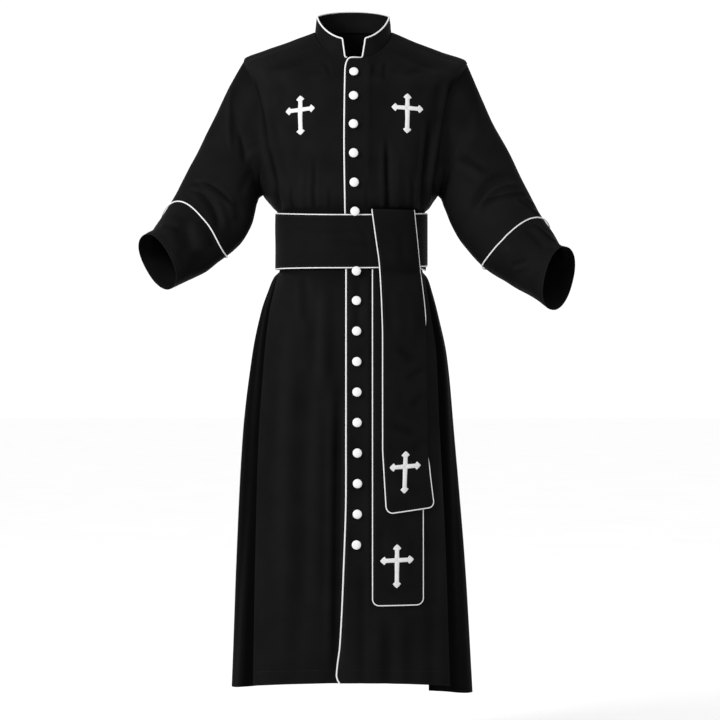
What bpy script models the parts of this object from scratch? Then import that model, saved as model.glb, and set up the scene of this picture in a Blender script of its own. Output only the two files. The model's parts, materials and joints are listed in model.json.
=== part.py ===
"""A clerical cassock with its cincture (sash), worn and hollow, as cut and sewn panels.

Lengths in the tables are millimetres and angles are degrees. The frame is +Z up, the wearer faces -Y and the
wearer's left hand is at +X. The origin is the middle of the base of the wearer's neck, level with the side of
the neckline, where the shoulders hold the garment.

The body is one smooth surface of rounded-oval sections. "turn" is the angle round the body: 0 is the centre
front, +90 the wearer's left side, 180 the centre back and -90 the wearer's right side. "level" is the height of
a section at its sides; shoulder and hem sections are higher or lower at the front and back.
"""
import math
from bisect import bisect_right
from collections import namedtuple

import bmesh
import bpy
from mathutils import Vector

MM = 0.001

# ---------------------------------------------------------------- driving sizes
CLOTH = 1.6                 # wall of the suiting
DOUBLE_CLOTH = 2.2          # wall of the interfaced collar and sash
SEAM_GAP = 0.3              # clearance between pieces that are sewn together
OVAL = 2 / 2.25             # roundness of every body section
FALL = 1.25                 # how quickly a section drops from its side to its front or back

NECK_LEVEL = 0
TIP_LEVEL = -60             # shoulder tip, where the armhole starts
ARMPIT_LEVEL = -340
WAIST_LEVEL = -437
HEM_LEVEL = -1373
SHOULDER_LEAN = 3           # the wearer's left shoulder sits this much lower than the middle

OVERLAP_LIFT = 2.2          # the left front lies this far over the right one
OVERLAP_END = 28            # x where the overlap starts to sink back to the body
OVERLAP_FADE = 12
UNDERLAP_X = 20             # x of the right front's hidden edge

PIPING_RADIUS = 1.6
PIPING_SIDES = 1            # bevel resolution: six-sided tube
PIPING_CLEAR = 0.35         # air between a piping and the cloth beside it
EDGE_PIPING_LIFT = 1.7      # the front edge's cord stands this far out from the left front's inner face
TAIL_PIPING_LIFT = 1.9      # and the upper tail's cord from the tail's inner face
TUCKED_ASIDE = -0.8         # where the upper tail's edge rolls under, its cord lies inside the edge
TUCKED_BEHIND = 4.7         # and behind the cloth

BUTTON_RADIUS = 9.8
BUTTON_HEIGHT = 6.5
BUTTON_STEPS = 10
SHANK_RADIUS = 3
SHANK = 1.4                 # the button's underside stands this far off the front
LONG_SHANK = 5.8            # where it hangs over the piping of the sash
SHANK_CLEAR = 0.6           # and the foot of that upright shank clears the sloping front
BUTTON_FROM_EDGE = (16.5, 22)   # from the front edge to the first and the last button
TOP_BUTTON_Z = -96
CHEST_BUTTONS = 5
CHEST_BUTTON_Z = -146.5
CHEST_BUTTON_STEP = 58.6
SKIRT_BUTTONS = 10
SKIRT_BUTTON_Z = -504.7
SKIRT_BUTTON_STEP = 62

GORE_TUCK = 7               # the gore's edges lie this far behind the fold edges
GORE_UNDERLAP = 42          # width of gore hidden behind each fold edge
GORE_DROP = 12              # the left gore hangs this much lower than the fronts
GORE_TOP_ANGLE = 3          # half of the gore's narrow top, where the fold edges meet
GORE_OPENS = 90             # length below the waist in which the gore comes out to the body's surface
GORE_VALLEY = 14            # depth of the valley beside each fold edge, at the hem
GORE_VALLEY_REACH = 585     # length below the waist in which the valley reaches that depth

WAIST_HALF_WIDTH = 150.2    # section of the waist that the sash is wound on
WAIST_FRONT = 112
WAIST_BACK = 104
WAIST_CENTRE_X = -3.9
WAIST_CENTRE_Y = 3
UNDER_LIFT = 4.9            # lift of the layer under the band
BAND_LIFT = 7.1             # lift of the band where it lies on the body
BAND_HIGH_LIFT = 8.3        # and where it passes over another layer of the sash
HOOK_LIFT = 12.4            # lift of the tail that passes over the band
UPPER_TAIL_LIFT = 9.2       # lift of that tail where it hangs on the skirt
BAND_CLOSING_TURN = 30      # where the two ends of the band meet, under the tail
BAND_CLOSING_GAP = 0.2
BAND_RISES = (8, 12.5)      # turns between which the band climbs over the tail under it
BAND_FALLS = (121, 131)     # turns between which it sinks back onto the body
TAIL_LEAVES_Z = -470        # between these heights the tails pass from the waist's oval to the skirt
TAIL_ON_SKIRT_Z = -490
UPPER_TAIL_SINKS = (-514, -600)     # heights between which the upper tail sinks to its lift on the skirt

CROSS_TOP = 32              # lengths of the cross's arms from its middle
CROSS_FOOT = 56
CROSS_SIDE = 34
CROSS_MIDDLE = 5            # half the side of the square where the four arms meet
CROSS_THICKNESS = 1.0
CROSS_LIFT = 0.55

# ---------------------------------------------------------------- section table of the body
Section = namedtuple("Section", "level front_z back_z half_width centre_x front back centre_y")
BODY = [
    #       level front_z back_z half_w  cx   front back  cy
    Section(0,     -65,    12,    81,    0.5,  75,   72,   0),    # neckline
    Section(-22,   -82,   -10,    136,   4.0,  82,   82,   0),
    Section(-39,   -98,   -30,    183,   1.5,  89,   91,   0),
    Section(-60,   -112,  -46,    233,   4.5,  96,   100,  0),    # shoulder tips
    Section(-95,   -140,  -74,    222,   2.0,  106,  107,  0),
    Section(-160,  -195,  -130,   214,  -1.0,  121,  117,  1),    # across the chest
    Section(-250,  -265,  -232,   208,  -3.0,  132,  122,  2),    # fullest chest
    Section(-305,  -312,  -294,   197,  -4.0,  131,  120,  2),
    Section(-340,  -343,  -334,   182,  -6.0,  127,  118,  2),    # armpit
    Section(-364,  -365,  -357,   164,  -4.5,  120,  113,  3),
    Section(-377,  -377,  -368,   153,  -4.2,  114,  106,  3),    # blouses over the sash
    Section(-391,  -387,  -380,   150.2, -3.9, 112,  104,  3),
    Section(-437,  -437,  -437,   150.2, -3.9, 112,  104,  3),    # waist, under the sash
    Section(-500,  -500,  -496,   150.2, -3.9, 112,  104,  3),
    Section(-512,  -515,  -511,   160,   -4.0, 114.5, 110, 3.5),  # skirt starts under the sash
    Section(-545,  -547,  -545,   172.5, -5.0, 121,  122,  4),
    Section(-582,  -583,  -582,   184,   -6.0, 128,  133,  5),    # upper hip
    Section(-676,  -676,  -676,   204,   -4.7, 140,  152,  6),    # hip
    Section(-834,  -834,  -834,   220.5, -7.0, 152,  168,  7),
    Section(-1107, -1105, -1108,  238.5, -5.0, 170,  186,  8),    # knee
    Section(-1373, -1342, -1378,  252.5, -3.5, 186,  202,  10),   # hem
]

# angle between the side of the body and the edge of the front and back panels: the armhole above the
# armpit, nothing at the side seam, and the pressed fold edges of the skirt below the waist
EdgeAngle = namedtuple("EdgeAngle", "level angle")
ARMHOLE = [
    EdgeAngle(-60, 0),
    EdgeAngle(-95, 19),
    EdgeAngle(-160, 28),
    EdgeAngle(-250, 26),
    EdgeAngle(-305, 17),
    EdgeAngle(-340, 0),
]
FOLD_EDGE = [
    EdgeAngle(-437, 0),
    EdgeAngle(-486, 12),
    EdgeAngle(-545, 25),
    EdgeAngle(-620, 30),
    EdgeAngle(-770, 34),
    EdgeAngle(-1107, 37.5),
    EdgeAngle(-1373, 40),
]

# largest soft folds: where each runs round the body, between which levels, how proud and how wide it is
Fold = namedtuple("Fold", "turn_top turn_hem top bottom proud width")
FOLDS = [
    Fold(-15, -19, -520, -1373, 4.5, 7),     # skirt, beside the opening
    Fold(-33, -38, -560, -1373, 5.0, 9),     # skirt, wearer's right front
    Fold(-7.5, -10, -700, -1373, -4.0, 5),   # trough beside the piping
    Fold(47, 50, -760, -1373, 4.5, 8),       # skirt, beyond the tails
    Fold(152, 148, -520, -1373, 6.0, 10),    # back skirt
    Fold(176, 178, -540, -1373, 7.5, 11),
    Fold(-158, -153, -510, -1373, 6.0, 10),
    Fold(-146, -143, -640, -1373, -5.0, 8),
    Fold(164, 163, -600, -1373, -5.0, 8),
    Fold(41, 28, -95, -345, 3.0, 7),         # left chest, from the shoulder towards the sash
    Fold(-43, -35, -110, -345, 2.4, 7),      # right chest
    Fold(138, 146, -110, -360, 4.0, 8),      # back, below the shoulder blades
    Fold(-140, -148, -120, -360, 4.0, 8),
]

# ---------------------------------------------------------------- fronts
EdgePoint = namedtuple("EdgePoint", "z x")
FRONT_EDGE = [
    EdgePoint(-66, -6),
    EdgePoint(-74, -12),
    EdgePoint(-90, -14.5),
    EdgePoint(-236, -16),
    EdgePoint(-360, -14.5),
    EdgePoint(-500, -12),
    EdgePoint(-947, -12),
    EdgePoint(-1119, -17),
    EdgePoint(-1263, -24),
    EdgePoint(-1328, -31),
    EdgePoint(-1346, -22),
]
EDGE_PIPING_FOOT = [-1342, -1340, -1335, -1328, -1318]     # heights where the cord curls at the hem
EDGE_PIPING_TOP = -76       # height where it leaves the straight edge for the notch

# ---------------------------------------------------------------- collar
COLLAR_HALF_WIDTH = 77
COLLAR_FRONT = 74
COLLAR_BACK = 66
COLLAR_SIDE_Z = 33
COLLAR_FRONT_FALL = 58
COLLAR_BACK_RISE = 19
COLLAR_DEPTH_IN = 3         # the collar's base stands inside the neckline and reaches this far below it
COLLAR_COLUMNS = 32         # shared by the collar's rim and the cord on it
NOTCH_RIGHT = EdgePoint(-25, -23)      # top corners of the collar's two front ends
NOTCH_LEFT = EdgePoint(-25, 27)
NOTCH_RISE = 0.8            # the cord across the notch stands this much above the front's top edge
NOTCH_BASE_RIGHT = -17
NOTCH_BASE_LEFT = 20

# ---------------------------------------------------------------- sleeves
SleeveRing = namedtuple("SleeveRing", "outer_x outer_z inner_x inner_z y depth lead")
SLEEVE_RIGHT = [
    #          outer_x outer_z inner_x inner_z  y     depth lead
    SleeveRing(-229,  -57,    -189,   -340,     0,    60,   0),    # armhole
    SleeveRing(-260,  -114,   -197,   -347,    -5,    56,   4),
    SleeveRing(-303,  -208,   -201,   -362,   -20,    54,   8),
    SleeveRing(-339,  -283,   -208,   -397,   -40,    51,   12),
    SleeveRing(-363,  -334,   -229,   -442,   -62,    48,   16),   # elbow
    SleeveRing(-381,  -372,   -261,   -473,   -95,    45,   21),   # cuff seam
    SleeveRing(-395,  -398,   -303,   -506,  -122,    43,   24),
    SleeveRing(-409,  -422,   -336,   -524,  -148,    41,   27),
    SleeveRing(-426,  -434,   -367,   -541,  -170,    39,   30),   # cuff opening
]
SLEEVE_LEFT = [
    SleeveRing(239,   -63,     179,   -340,     0,    60,   0),
    SleeveRing(262,   -120,    184,   -349,    -5,    56,   4),
    SleeveRing(291,   -189,    190,   -365,   -20,    54,   10),
    SleeveRing(323,   -251,    204,   -403,   -40,    51,   18),
    SleeveRing(355,   -322,    230,   -450,   -62,    48,   26),
    SleeveRing(390,   -392,    266,   -492,   -95,    45,   35),
    SleeveRing(406,   -420,    312,   -525,  -122,    43,   36),
    SleeveRing(424,   -454,    361,   -555,  -148,    41,   34),
    SleeveRing(435,   -457,    402,   -585,  -170,    39,   32),
]
# Where the sleeve ends and the cuff starts, in rings: its mean, and how it slants towards the front (lead),
# between front and side (twist) and towards the outer side (flare).
CuffSeam = namedtuple("CuffSeam", "ring lead twist flare")
CUFF_SEAM_RIGHT = CuffSeam(5.15, -0.3, -0.35, 0.15)
CUFF_SEAM_LEFT = CuffSeam(5, 0, 0, 0)
CUFF_SEAM_GAP = 0.012       # from the seam to each of the two pieces, in rings
CUFF_RING = 5               # the sleeve's last level row lies here
SLEEVE_COLUMNS = 16         # so that a sleeve's head has the same points as its armhole

# ---------------------------------------------------------------- sash
BAND_FRONT_TOP = -390
BAND_SIDE_TOP = -381
BAND_BACK_TOP = -378
BAND_FRONT_BOTTOM = -496
BAND_RIGHT_BOTTOM = -495    # at the wearer's right side
BAND_LEFT_BOTTOM = -488
BAND_BACK_BOTTOM = -490

TailRow = namedtuple("TailRow", "z left right tucked")
UPPER_TAIL = [
    #       z     left right tucked: the right piping is rolled behind the edge
    TailRow(-377,  40,  125,  0),
    TailRow(-435,  48,  131,  0),
    TailRow(-496,  56,  137,  0),
    TailRow(-600,  61,  148,  0),
    TailRow(-640,  62,  149.5, 1),
    TailRow(-865,  62,  152,  1),
    TailRow(-905,  64,  155,  0),
    TailRow(-990,  69,  165,  0),
]
UPPER_TAIL_FOOT = (-997, -988)              # bottom edge's height at its left and right corners
LOWER_TAIL = [
    TailRow(-468,  41.5, 128, 0),
    TailRow(-500,  41.5, 131, 0),
    TailRow(-620,  41.5, 140.5, 0),
    TailRow(-700,  41.5, 142, 0),
    TailRow(-1184, 41.5, 142, 0),
]
LOWER_TAIL_FOOT = (-1184, -1184)
UPPER_TAIL_ROWS = [-410, -452, -490, -500, -514, -532, -560, -620, -680, -750, -820, -885, -950]
LOWER_TAIL_ROWS = [-468, -490, -500, -514, -532, -560, -620, -690, -770, -850, -930, -1010, -1090, -1150]
TUCK_HEIGHTS = [-600, -640, -865, -905]           # more places for the cord where its edge rolls under
TAIL_COLUMNS = 5
TAIL_CORNER = 12                            # radius of the tails' bottom corners
HOOK_Z = -381.5                             # axis that the upper tail folds over
HOOK_END_Z = -404

INNER_WRAP_TURNS = (64, 118)
INNER_WRAP_TOP = -472
WrapFoot = namedtuple("WrapFoot", "turn z")
INNER_WRAP_FOOT = [
    WrapFoot(64, -495),
    WrapFoot(85, -498.5),
    WrapFoot(97, -496),
    WrapFoot(118, -484),
]
INNER_WRAP_PIPED = 96       # turn where the inner wrap's piping goes under the band

# ------------------------------------ crosses: middle, the turn of each arm, and how far its arms reach
Cross = namedtuple("Cross", "name panel x z upright bar wide tall")
CROSSES = [
    Cross("cross_chest_right", "front", -107.5, -173, -1, 6.5, 0.87, 0.93),
    Cross("cross_chest_left", "front", 111.5, -169, 1.5, -4, 0.94, 0.94),
    Cross("cross_tail_upper", "upper_tail", 107, -904, 2, 4, 0.93, 0.97),
    Cross("cross_tail_lower", "lower_tail", 90, -1094, 0.5, 2, 1, 1),
]

BLACK = (0.0095, 0.0095, 0.0105)
WHITE = (0.82, 0.82, 0.80)


# ---------------------------------------------------------------- smooth tables
def smooth_value(heights, values, height):
    """Value at a height by monotone cubic interpolation, so that no column overshoots its rows."""
    if height <= heights[0]:
        return values[0]
    if height >= heights[-1]:
        return values[-1]
    last = len(heights) - 1
    span = [heights[i + 1] - heights[i] for i in range(last)]
    slope = [(values[i + 1] - values[i]) / span[i] for i in range(last)]

    def tangent(i):
        if i == 0:
            return slope[0]
        if i == last:
            return slope[-1]
        before = slope[i - 1]
        after = slope[i]
        if before * after <= 0:
            return 0.0
        return 2 * before * after / (before + after)

    i = min(bisect_right(heights, height) - 1, last - 1)
    t = (height - heights[i]) / span[i]
    rise = (1 + 2 * t) * (1 - t) ** 2 * values[i] + t * t * (3 - 2 * t) * values[i + 1]
    return rise + span[i] * (t * (1 - t) ** 2 * tangent(i) - t * t * (1 - t) * tangent(i + 1))


class Table:
    """Rows of named columns, read at any value of the first column."""

    def __init__(self, rows):
        self.rows = sorted(rows, key=lambda row: row[0])
        self.keys = [row[0] for row in self.rows]

    def at(self, key, column):
        values = [getattr(row, column) for row in self.rows]
        return smooth_value(self.keys, values, key)


BODY_TABLE = Table(BODY)
ARMHOLE_TABLE = Table(ARMHOLE)
FOLD_EDGE_TABLE = Table(FOLD_EDGE)
FRONT_EDGE_TABLE = Table(FRONT_EDGE)
UPPER_TAIL_TABLE = Table(UPPER_TAIL)
LOWER_TAIL_TABLE = Table(LOWER_TAIL)
INNER_WRAP_TABLE = Table(INNER_WRAP_FOOT)


def ease(t):
    """0 to 1 with level ends."""
    t = min(max(t, 0.0), 1.0)
    return t * t * (3 - 2 * t)


def between(start, end, t):
    return start + (end - start) * t


def steps(start, end, count):
    """count + 1 values from start to end."""
    return [between(start, end, i / count) for i in range(count + 1)]


def signed_power(value, power):
    return math.copysign(abs(value) ** power, value)


# ---------------------------------------------------------------- the body's surface
def fold_height(turn, level):
    """How far the soft folds push the cloth out at a place on the body."""
    height = 0.0
    for fold in FOLDS:
        if not fold.bottom <= level <= fold.top:
            continue
        down = (fold.top - level) / (fold.top - fold.bottom)
        middle = between(fold.turn_top, fold.turn_hem, down)
        across = (turn - middle + 180) % 360 - 180
        grows = ease(down * 2.2)
        fades = 1.0 if fold.bottom == HEM_LEVEL else ease((1 - down) * 3)
        height += fold.proud * grows * fades * math.exp(-((across / fold.width) ** 2))
    return height


def oval_point(turn, half_width, front, back, centre_x, centre_y):
    """x and y on a rounded oval with its own depth at the front and at the back."""
    angle = math.radians(turn)
    depth = front if math.cos(angle) > 0 else back
    x = centre_x + half_width * signed_power(math.sin(angle), OVAL)
    y = centre_y - depth * signed_power(math.cos(angle), OVAL)
    return x, y


def smooth_body(turn, level):
    """A point of the body's surface without its folds."""
    row = {name: BODY_TABLE.at(level, name) for name in Section._fields[1:]}
    x, y = oval_point(turn, row["half_width"], row["front"], row["back"], row["centre_x"], row["centre_y"])
    along = math.cos(math.radians(turn))
    end_z = row["front_z"] if along > 0 else row["back_z"]
    z = level + (end_z - level) * abs(along) ** FALL
    lean = SHOULDER_LEAN * ease((level - ARMPIT_LEVEL) / (TIP_LEVEL - ARMPIT_LEVEL))
    lean *= ease((NECK_LEVEL - level) / 20)
    return Vector((x, y, z - lean * math.sin(math.radians(turn))))


def normal_of(surface, u, v, u_step, v_step):
    """Outward normal of a surface whose u runs round the body and whose v runs up it."""
    across = surface(u + u_step, v) - surface(u - u_step, v)
    up = surface(u, v + v_step) - surface(u, v - v_step)
    return across.cross(up).normalized()


def body_point(turn, level, lift=0.0):
    """A point of the worn body, folds included, moved out by lift."""
    safe_level = min(max(level, HEM_LEVEL + 1), NECK_LEVEL - 1)
    normal = normal_of(smooth_body, turn, safe_level, 1.0, 1.0)
    return smooth_body(turn, level) + normal * (fold_height(turn, level) + lift)


def front_turn(share):
    """The turn on the front of an oval at a share of its half-width from its middle."""
    share = min(max(share, -1), 1)
    return math.degrees(math.asin(signed_power(share, 1 / OVAL)))


def turn_at_x(x, level):
    """The turn on the front of the body where a section has this x."""
    return front_turn((x - BODY_TABLE.at(level, "centre_x")) / BODY_TABLE.at(level, "half_width"))


def front_level(z):
    """The level whose section passes through a height at the centre front."""
    low = HEM_LEVEL
    high = NECK_LEVEL
    for _ in range(40):
        level = (low + high) / 2
        if BODY_TABLE.at(level, "front_z") < z:
            low = level
        else:
            high = level
    return level


def level_at_place(x, z, low, high):
    """The level between low and high whose section passes through a height at this x on the front."""
    for _ in range(30):
        level = (low + high) / 2
        if smooth_body(turn_at_x(x, level), level).z < z:
            low = level
        else:
            high = level
    return level


def edge_angle(level):
    """Angle from the side of the body to the edge of the front and back panels."""
    if ARMPIT_LEVEL < level < TIP_LEVEL:
        return ARMHOLE_TABLE.at(level, "angle")
    if level < WAIST_LEVEL:
        return FOLD_EDGE_TABLE.at(level, "angle")
    return 0.0


def front_edge_x(level):
    return FRONT_EDGE_TABLE.at(BODY_TABLE.at(level, "front_z"), "x")


def overlap_lift(x):
    """The left front's lift over the right one, sinking back beyond the overlap."""
    return OVERLAP_LIFT * (1 - ease((x - OVERLAP_END) / OVERLAP_FADE))


def left_front_point(x, level, lift=0.0):
    return body_point(turn_at_x(x, level), level, lift + overlap_lift(x))


# ---------------------------------------------------------------- mesh makers
def new_collection(name):
    collection = bpy.data.collections.new(name)
    bpy.context.scene.collection.children.link(collection)
    return collection


def make_material(name, colour, roughness):
    material = bpy.data.materials.new(name)
    material.use_nodes = True
    shader = material.node_tree.nodes["Principled BSDF"]
    shader.inputs["Base Color"].default_value = (*colour, 1.0)
    shader.inputs["Roughness"].default_value = roughness
    shader.inputs["Metallic"].default_value = 0.0
    material.diffuse_color = (*colour, 1.0)
    return material


def add_object(name, data, material, collection):
    data.materials.append(material)
    piece = bpy.data.objects.new(name, data)
    collection.objects.link(piece)
    return piece


def shade_soft(mesh):
    mesh.shade_smooth()
    mesh.set_sharp_from_angle(angle=math.radians(50))


def cloth_sheet(name, columns, rows, place, wall, material, collection, tube=False):
    """A cloth wall: a flat grid laid on place(u, v), thickened outwards.

    u runs from 0 to 1 round the body and v from 0 to 1 up it; a tube's two side edges are sewn together.
    """
    bm = bmesh.new()
    bmesh.ops.create_grid(bm, x_segments=columns, y_segments=rows, size=0.5)
    for vertex in bm.verts:
        u = round((vertex.co.x + 0.5) * columns) / columns
        v = round((vertex.co.y + 0.5) * rows) / rows
        vertex.co = place(u, v) * MM
    if tube:
        bmesh.ops.remove_doubles(bm, verts=bm.verts, dist=0.01 * MM)
    mesh = bpy.data.meshes.new(name)
    bm.to_mesh(mesh)
    bm.free()
    shade_soft(mesh)
    piece = add_object(name, mesh, material, collection)
    shell = piece.modifiers.new("wall", "SOLIDIFY")
    shell.thickness = wall * MM
    shell.offset = 1.0
    return piece


def piping_tube(name, points, material, collection, closed=False):
    """A round piping cord along points in millimetres."""
    curve = bpy.data.curves.new(name, "CURVE")
    curve.dimensions = "3D"
    curve.bevel_depth = PIPING_RADIUS * MM
    curve.bevel_resolution = PIPING_SIDES
    curve.use_fill_caps = not closed
    spline = curve.splines.new("POLY")
    spline.points.add(len(points) - 1)
    for target, point in zip(spline.points, points):
        target.co = (*(point * MM), 1.0)
    spline.use_cyclic_u = closed
    return add_object(name, curve, material, collection)


def rounded_path(points, radius, cuts):
    """A path with each inner corner rounded off by a short curve."""
    path = [points[0]]
    for before, corner, after in zip(points, points[1:], points[2:]):
        back = before - corner
        ahead = after - corner
        reach = min(radius, back.length * 0.45, ahead.length * 0.45)
        start = corner + back.normalized() * reach
        end = corner + ahead.normalized() * reach
        for t in steps(0, 1, cuts):
            path.append(start * (1 - t) ** 2 + corner * 2 * t * (1 - t) + end * t * t)
    path.append(points[-1])
    return path


# ---------------------------------------------------------------- fronts and back
LEVELS = [
    0, -22, -39, -60, -77, -102, -140, -195, -250, -297, -324, -340, -352, -364, -377, -391,
    -437, -500, -512, -545, -600, -676, -770, -880, -990, -1107, -1240, -1358, -1373,
]
FRONT_COLUMNS = 7           # columns of a front beside its overlap
OVERLAP_COLUMNS = 2         # columns that both fronts share where they overlap
ARMHOLE_LEVELS = [level for level in LEVELS if ARMPIT_LEVEL <= level <= TIP_LEVEL]


def level_at(v):
    """Body level at v, where v counts the rows of a full-length panel from the hem up."""
    rows = len(LEVELS) - 1
    return LEVELS[rows - round(v * rows)]


def build_fronts(cloth, collection):
    rows = len(LEVELS) - 1

    def overlap_turns(level):
        edge = turn_at_x(front_edge_x(level), level)
        return steps(edge, turn_at_x(UNDERLAP_X, level), OVERLAP_COLUMNS)

    def right_front(u, v):
        level = level_at(v)
        overlap = overlap_turns(level)
        turns = steps(edge_angle(level) - 90, overlap[0], FRONT_COLUMNS) + overlap[1:]
        point = body_point(turns[round(u * (len(turns) - 1))], level)
        if u == 0:
            point.y -= SEAM_GAP * 0.6
        return point

    def left_front(u, v):
        level = level_at(v)
        turns = overlap_turns(level) + [turn_at_x(OVERLAP_END, level)]
        turns += steps(turn_at_x(OVERLAP_END + OVERLAP_FADE, level), 90 - edge_angle(level), FRONT_COLUMNS)
        turn = turns[round(u * (len(turns) - 1))]
        point = body_point(turn, level, overlap_lift(smooth_body(turn, level).x))
        if u == 1:
            point.y -= SEAM_GAP * 0.6
        return point

    columns = FRONT_COLUMNS + OVERLAP_COLUMNS
    cloth_sheet("front_right", columns, rows, right_front, CLOTH, cloth, collection)
    cloth_sheet("front_left", columns + 2, rows, left_front, CLOTH, cloth, collection)


def build_back(cloth, collection):
    def back(u, v):
        level = level_at(v)
        angle = edge_angle(level)
        point = body_point(between(90 + angle, 270 - angle, u), level)
        if u in (0, 1):
            point.y += SEAM_GAP * 0.6
        return point

    cloth_sheet("back", 16, len(LEVELS) - 1, back, CLOTH, cloth, collection)


# ---------------------------------------------------------------- side gores
GORE_LEVELS = [-437, -465, -500, -512, -545, -600, -676, -770, -880, -1107, -1240, -1373]
# places across a gore: share of the half-width from a fold edge (0) to the side (1)
GORE_PLACES = [0, 0.15, 0.38, 0.7, 1]


def gore_inset(share, level):
    """How far the gore lies inside the body's surface: tucked at the fold edge, then a valley, then out."""
    below = WAIST_LEVEL - level
    valley = GORE_VALLEY * math.sin(math.pi * math.sqrt(share)) * ease(below / GORE_VALLEY_REACH)
    return GORE_TUCK * (1 - share * ease(below / GORE_OPENS)) + valley


def build_gore(name, side, drop, cloth, collection):
    """One side gore. side is +1 for the wearer's left, -1 for the right."""
    rows = len(GORE_LEVELS) - 1
    visible = [share - 1 for share in GORE_PLACES] + [1 - share for share in GORE_PLACES[-2::-1]]
    columns = len(visible) + 1

    def gore(u, v):
        level = GORE_LEVELS[rows - round(v * rows)]
        column = round((u if side > 0 else 1 - u) * columns)
        angle = max(edge_angle(level), GORE_TOP_ANGLE)
        down = (WAIST_LEVEL - level) / (WAIST_LEVEL - HEM_LEVEL)
        if column in (0, columns):
            degree = math.radians(1) * BODY_TABLE.at(level, "front")
            spread = angle + between(0.7, 1, down) * GORE_UNDERLAP / degree
            turn = 90 + math.copysign(spread, column - 1)
            inset = GORE_TUCK
        else:
            place = visible[column - 1]
            turn = 90 + angle * place
            inset = gore_inset(1 - abs(place), level)
        point = body_point(side * turn, level, -inset)
        point.z -= drop * ease(down * 1.1)
        return point

    cloth_sheet(name, columns, rows, gore, CLOTH, cloth, collection)


# ---------------------------------------------------------------- collar
def collar_point(turn, v, lift=0.0):
    """The collar stand, from its base inside the neckline (v 0) to its rim (v 1)."""
    neck = BODY_TABLE.rows[-1]
    inset = DOUBLE_CLOTH + SEAM_GAP + 0.1
    base_x, base_y = oval_point(turn, neck.half_width - inset, neck.front - inset, neck.back - inset,
                                neck.centre_x, neck.centre_y)
    rim_x, rim_y = oval_point(turn, COLLAR_HALF_WIDTH - inset, COLLAR_FRONT - inset, COLLAR_BACK,
                              neck.centre_x, neck.centre_y)
    along = math.cos(math.radians(turn))
    fall = abs(along) ** FALL
    base_z = (neck.front_z if along > 0 else neck.back_z) * fall - COLLAR_DEPTH_IN
    rim_z = COLLAR_SIDE_Z + (-COLLAR_FRONT_FALL if along > 0 else COLLAR_BACK_RISE) * fall
    base = Vector((base_x, base_y, base_z))
    rim = Vector((rim_x, rim_y, rim_z))
    outward = Vector((base_x - neck.centre_x, base_y * 1.05, 0)).normalized()
    return base.lerp(rim, v) + outward * lift


def collar_turn(x, v):
    """The turn where the front of the collar has this x, at share v of its height."""
    neck = BODY_TABLE.rows[-1]
    inset = DOUBLE_CLOTH + SEAM_GAP + 0.1
    half_width = between(neck.half_width, COLLAR_HALF_WIDTH, v) - inset
    return front_turn((x - neck.centre_x) / half_width)


def collar_end_turns(v):
    """Turns of the collar's two front ends at share v of its height: left end, then right end."""
    left = collar_turn(between(NOTCH_BASE_LEFT, NOTCH_LEFT.x, v), v)
    right = collar_turn(between(NOTCH_BASE_RIGHT, NOTCH_RIGHT.x, v), v)
    return left, right + 360


def build_collar(cloth, collection):
    def collar(u, v):
        left, right = collar_end_turns(v)
        return collar_point(between(left, right, u), v)

    cloth_sheet("collar", COLLAR_COLUMNS, 2, collar, DOUBLE_CLOTH, cloth, collection)


# ---------------------------------------------------------------- sleeves and cuffs
def armhole_point(side, around):
    """The armhole's seam. around is 0 at the shoulder tip, 90 at the front and 180 at the armpit."""
    around = around % 360
    place = min(around, 360 - around) / 180 * (len(ARMHOLE_LEVELS) - 1)
    before = min(int(place), len(ARMHOLE_LEVELS) - 2)
    level = between(ARMHOLE_LEVELS[before], ARMHOLE_LEVELS[before + 1], place - before)
    angle = edge_angle(level)
    turn = 90 - angle if around < 180 else 90 + angle
    point = body_point(side * turn, level)
    down = (TIP_LEVEL - level) / (TIP_LEVEL - ARMPIT_LEVEL)
    point.x += side * (0.4 + 1.0 * down + 2.3 * down * down)
    return point


def sleeve_ring(rows, index):
    """Ring at a fractional index of a sleeve's table."""
    keys = list(range(len(rows)))
    return SleeveRing(*[smooth_value(keys, [row[c] for row in rows], index) for c in range(len(rows[0]))])


def ring_point(side, rows, around, index, lift=0.0):
    """A point of a sleeve: around as in armhole_point, index counting the table's rings."""
    ring = sleeve_ring(rows, index)
    outer = Vector((ring.outer_x, ring.y, ring.outer_z))
    inner = Vector((ring.inner_x, ring.y, ring.inner_z))
    centre = (outer + inner) / 2
    to_shoulder = (outer - inner).cross(Vector((0, side, 0))).normalized()
    forward = Vector((0, -ring.depth, 0)) + to_shoulder * ring.lead
    angle = math.radians(around)
    wide = signed_power(math.cos(angle), OVAL)
    deep = signed_power(math.sin(angle), OVAL)
    radius = (outer - centre) * wide + forward * deep
    point = centre + radius + radius.normalized() * lift
    if index < 1:
        point = armhole_point(side, around).lerp(point, ease(0.5 * index) * 2)
    return point


def cuff_seam(seam, around):
    """The ring index of a cuff's seam at an angle round the sleeve."""
    angle = math.radians(around)
    return (seam.ring + seam.lead * math.sin(angle) + seam.twist * math.sin(2 * angle)
            + seam.flare * math.cos(angle))


def build_sleeve(name, side, rows, seam, cloth, collection):
    def sleeve(u, v):
        around = 360 * u * side
        index = (1 - v) * (CUFF_RING - CUFF_SEAM_GAP)
        if v == 0:
            index = cuff_seam(seam, around) - CUFF_SEAM_GAP
        return ring_point(side, rows, around, index)

    cloth_sheet(name, SLEEVE_COLUMNS, 8, sleeve, CLOTH, cloth, collection, tube=True)


def build_cuff(name, side, rows, seam, cloth, collection):
    last = len(rows) - 1

    def cuff(u, v):
        around = 360 * u * side
        index = between(last, cuff_seam(seam, around) + CUFF_SEAM_GAP, v)
        return ring_point(side, rows, around, index)

    cloth_sheet(name, SLEEVE_COLUMNS, 3, cuff, CLOTH, cloth, collection, tube=True)


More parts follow.
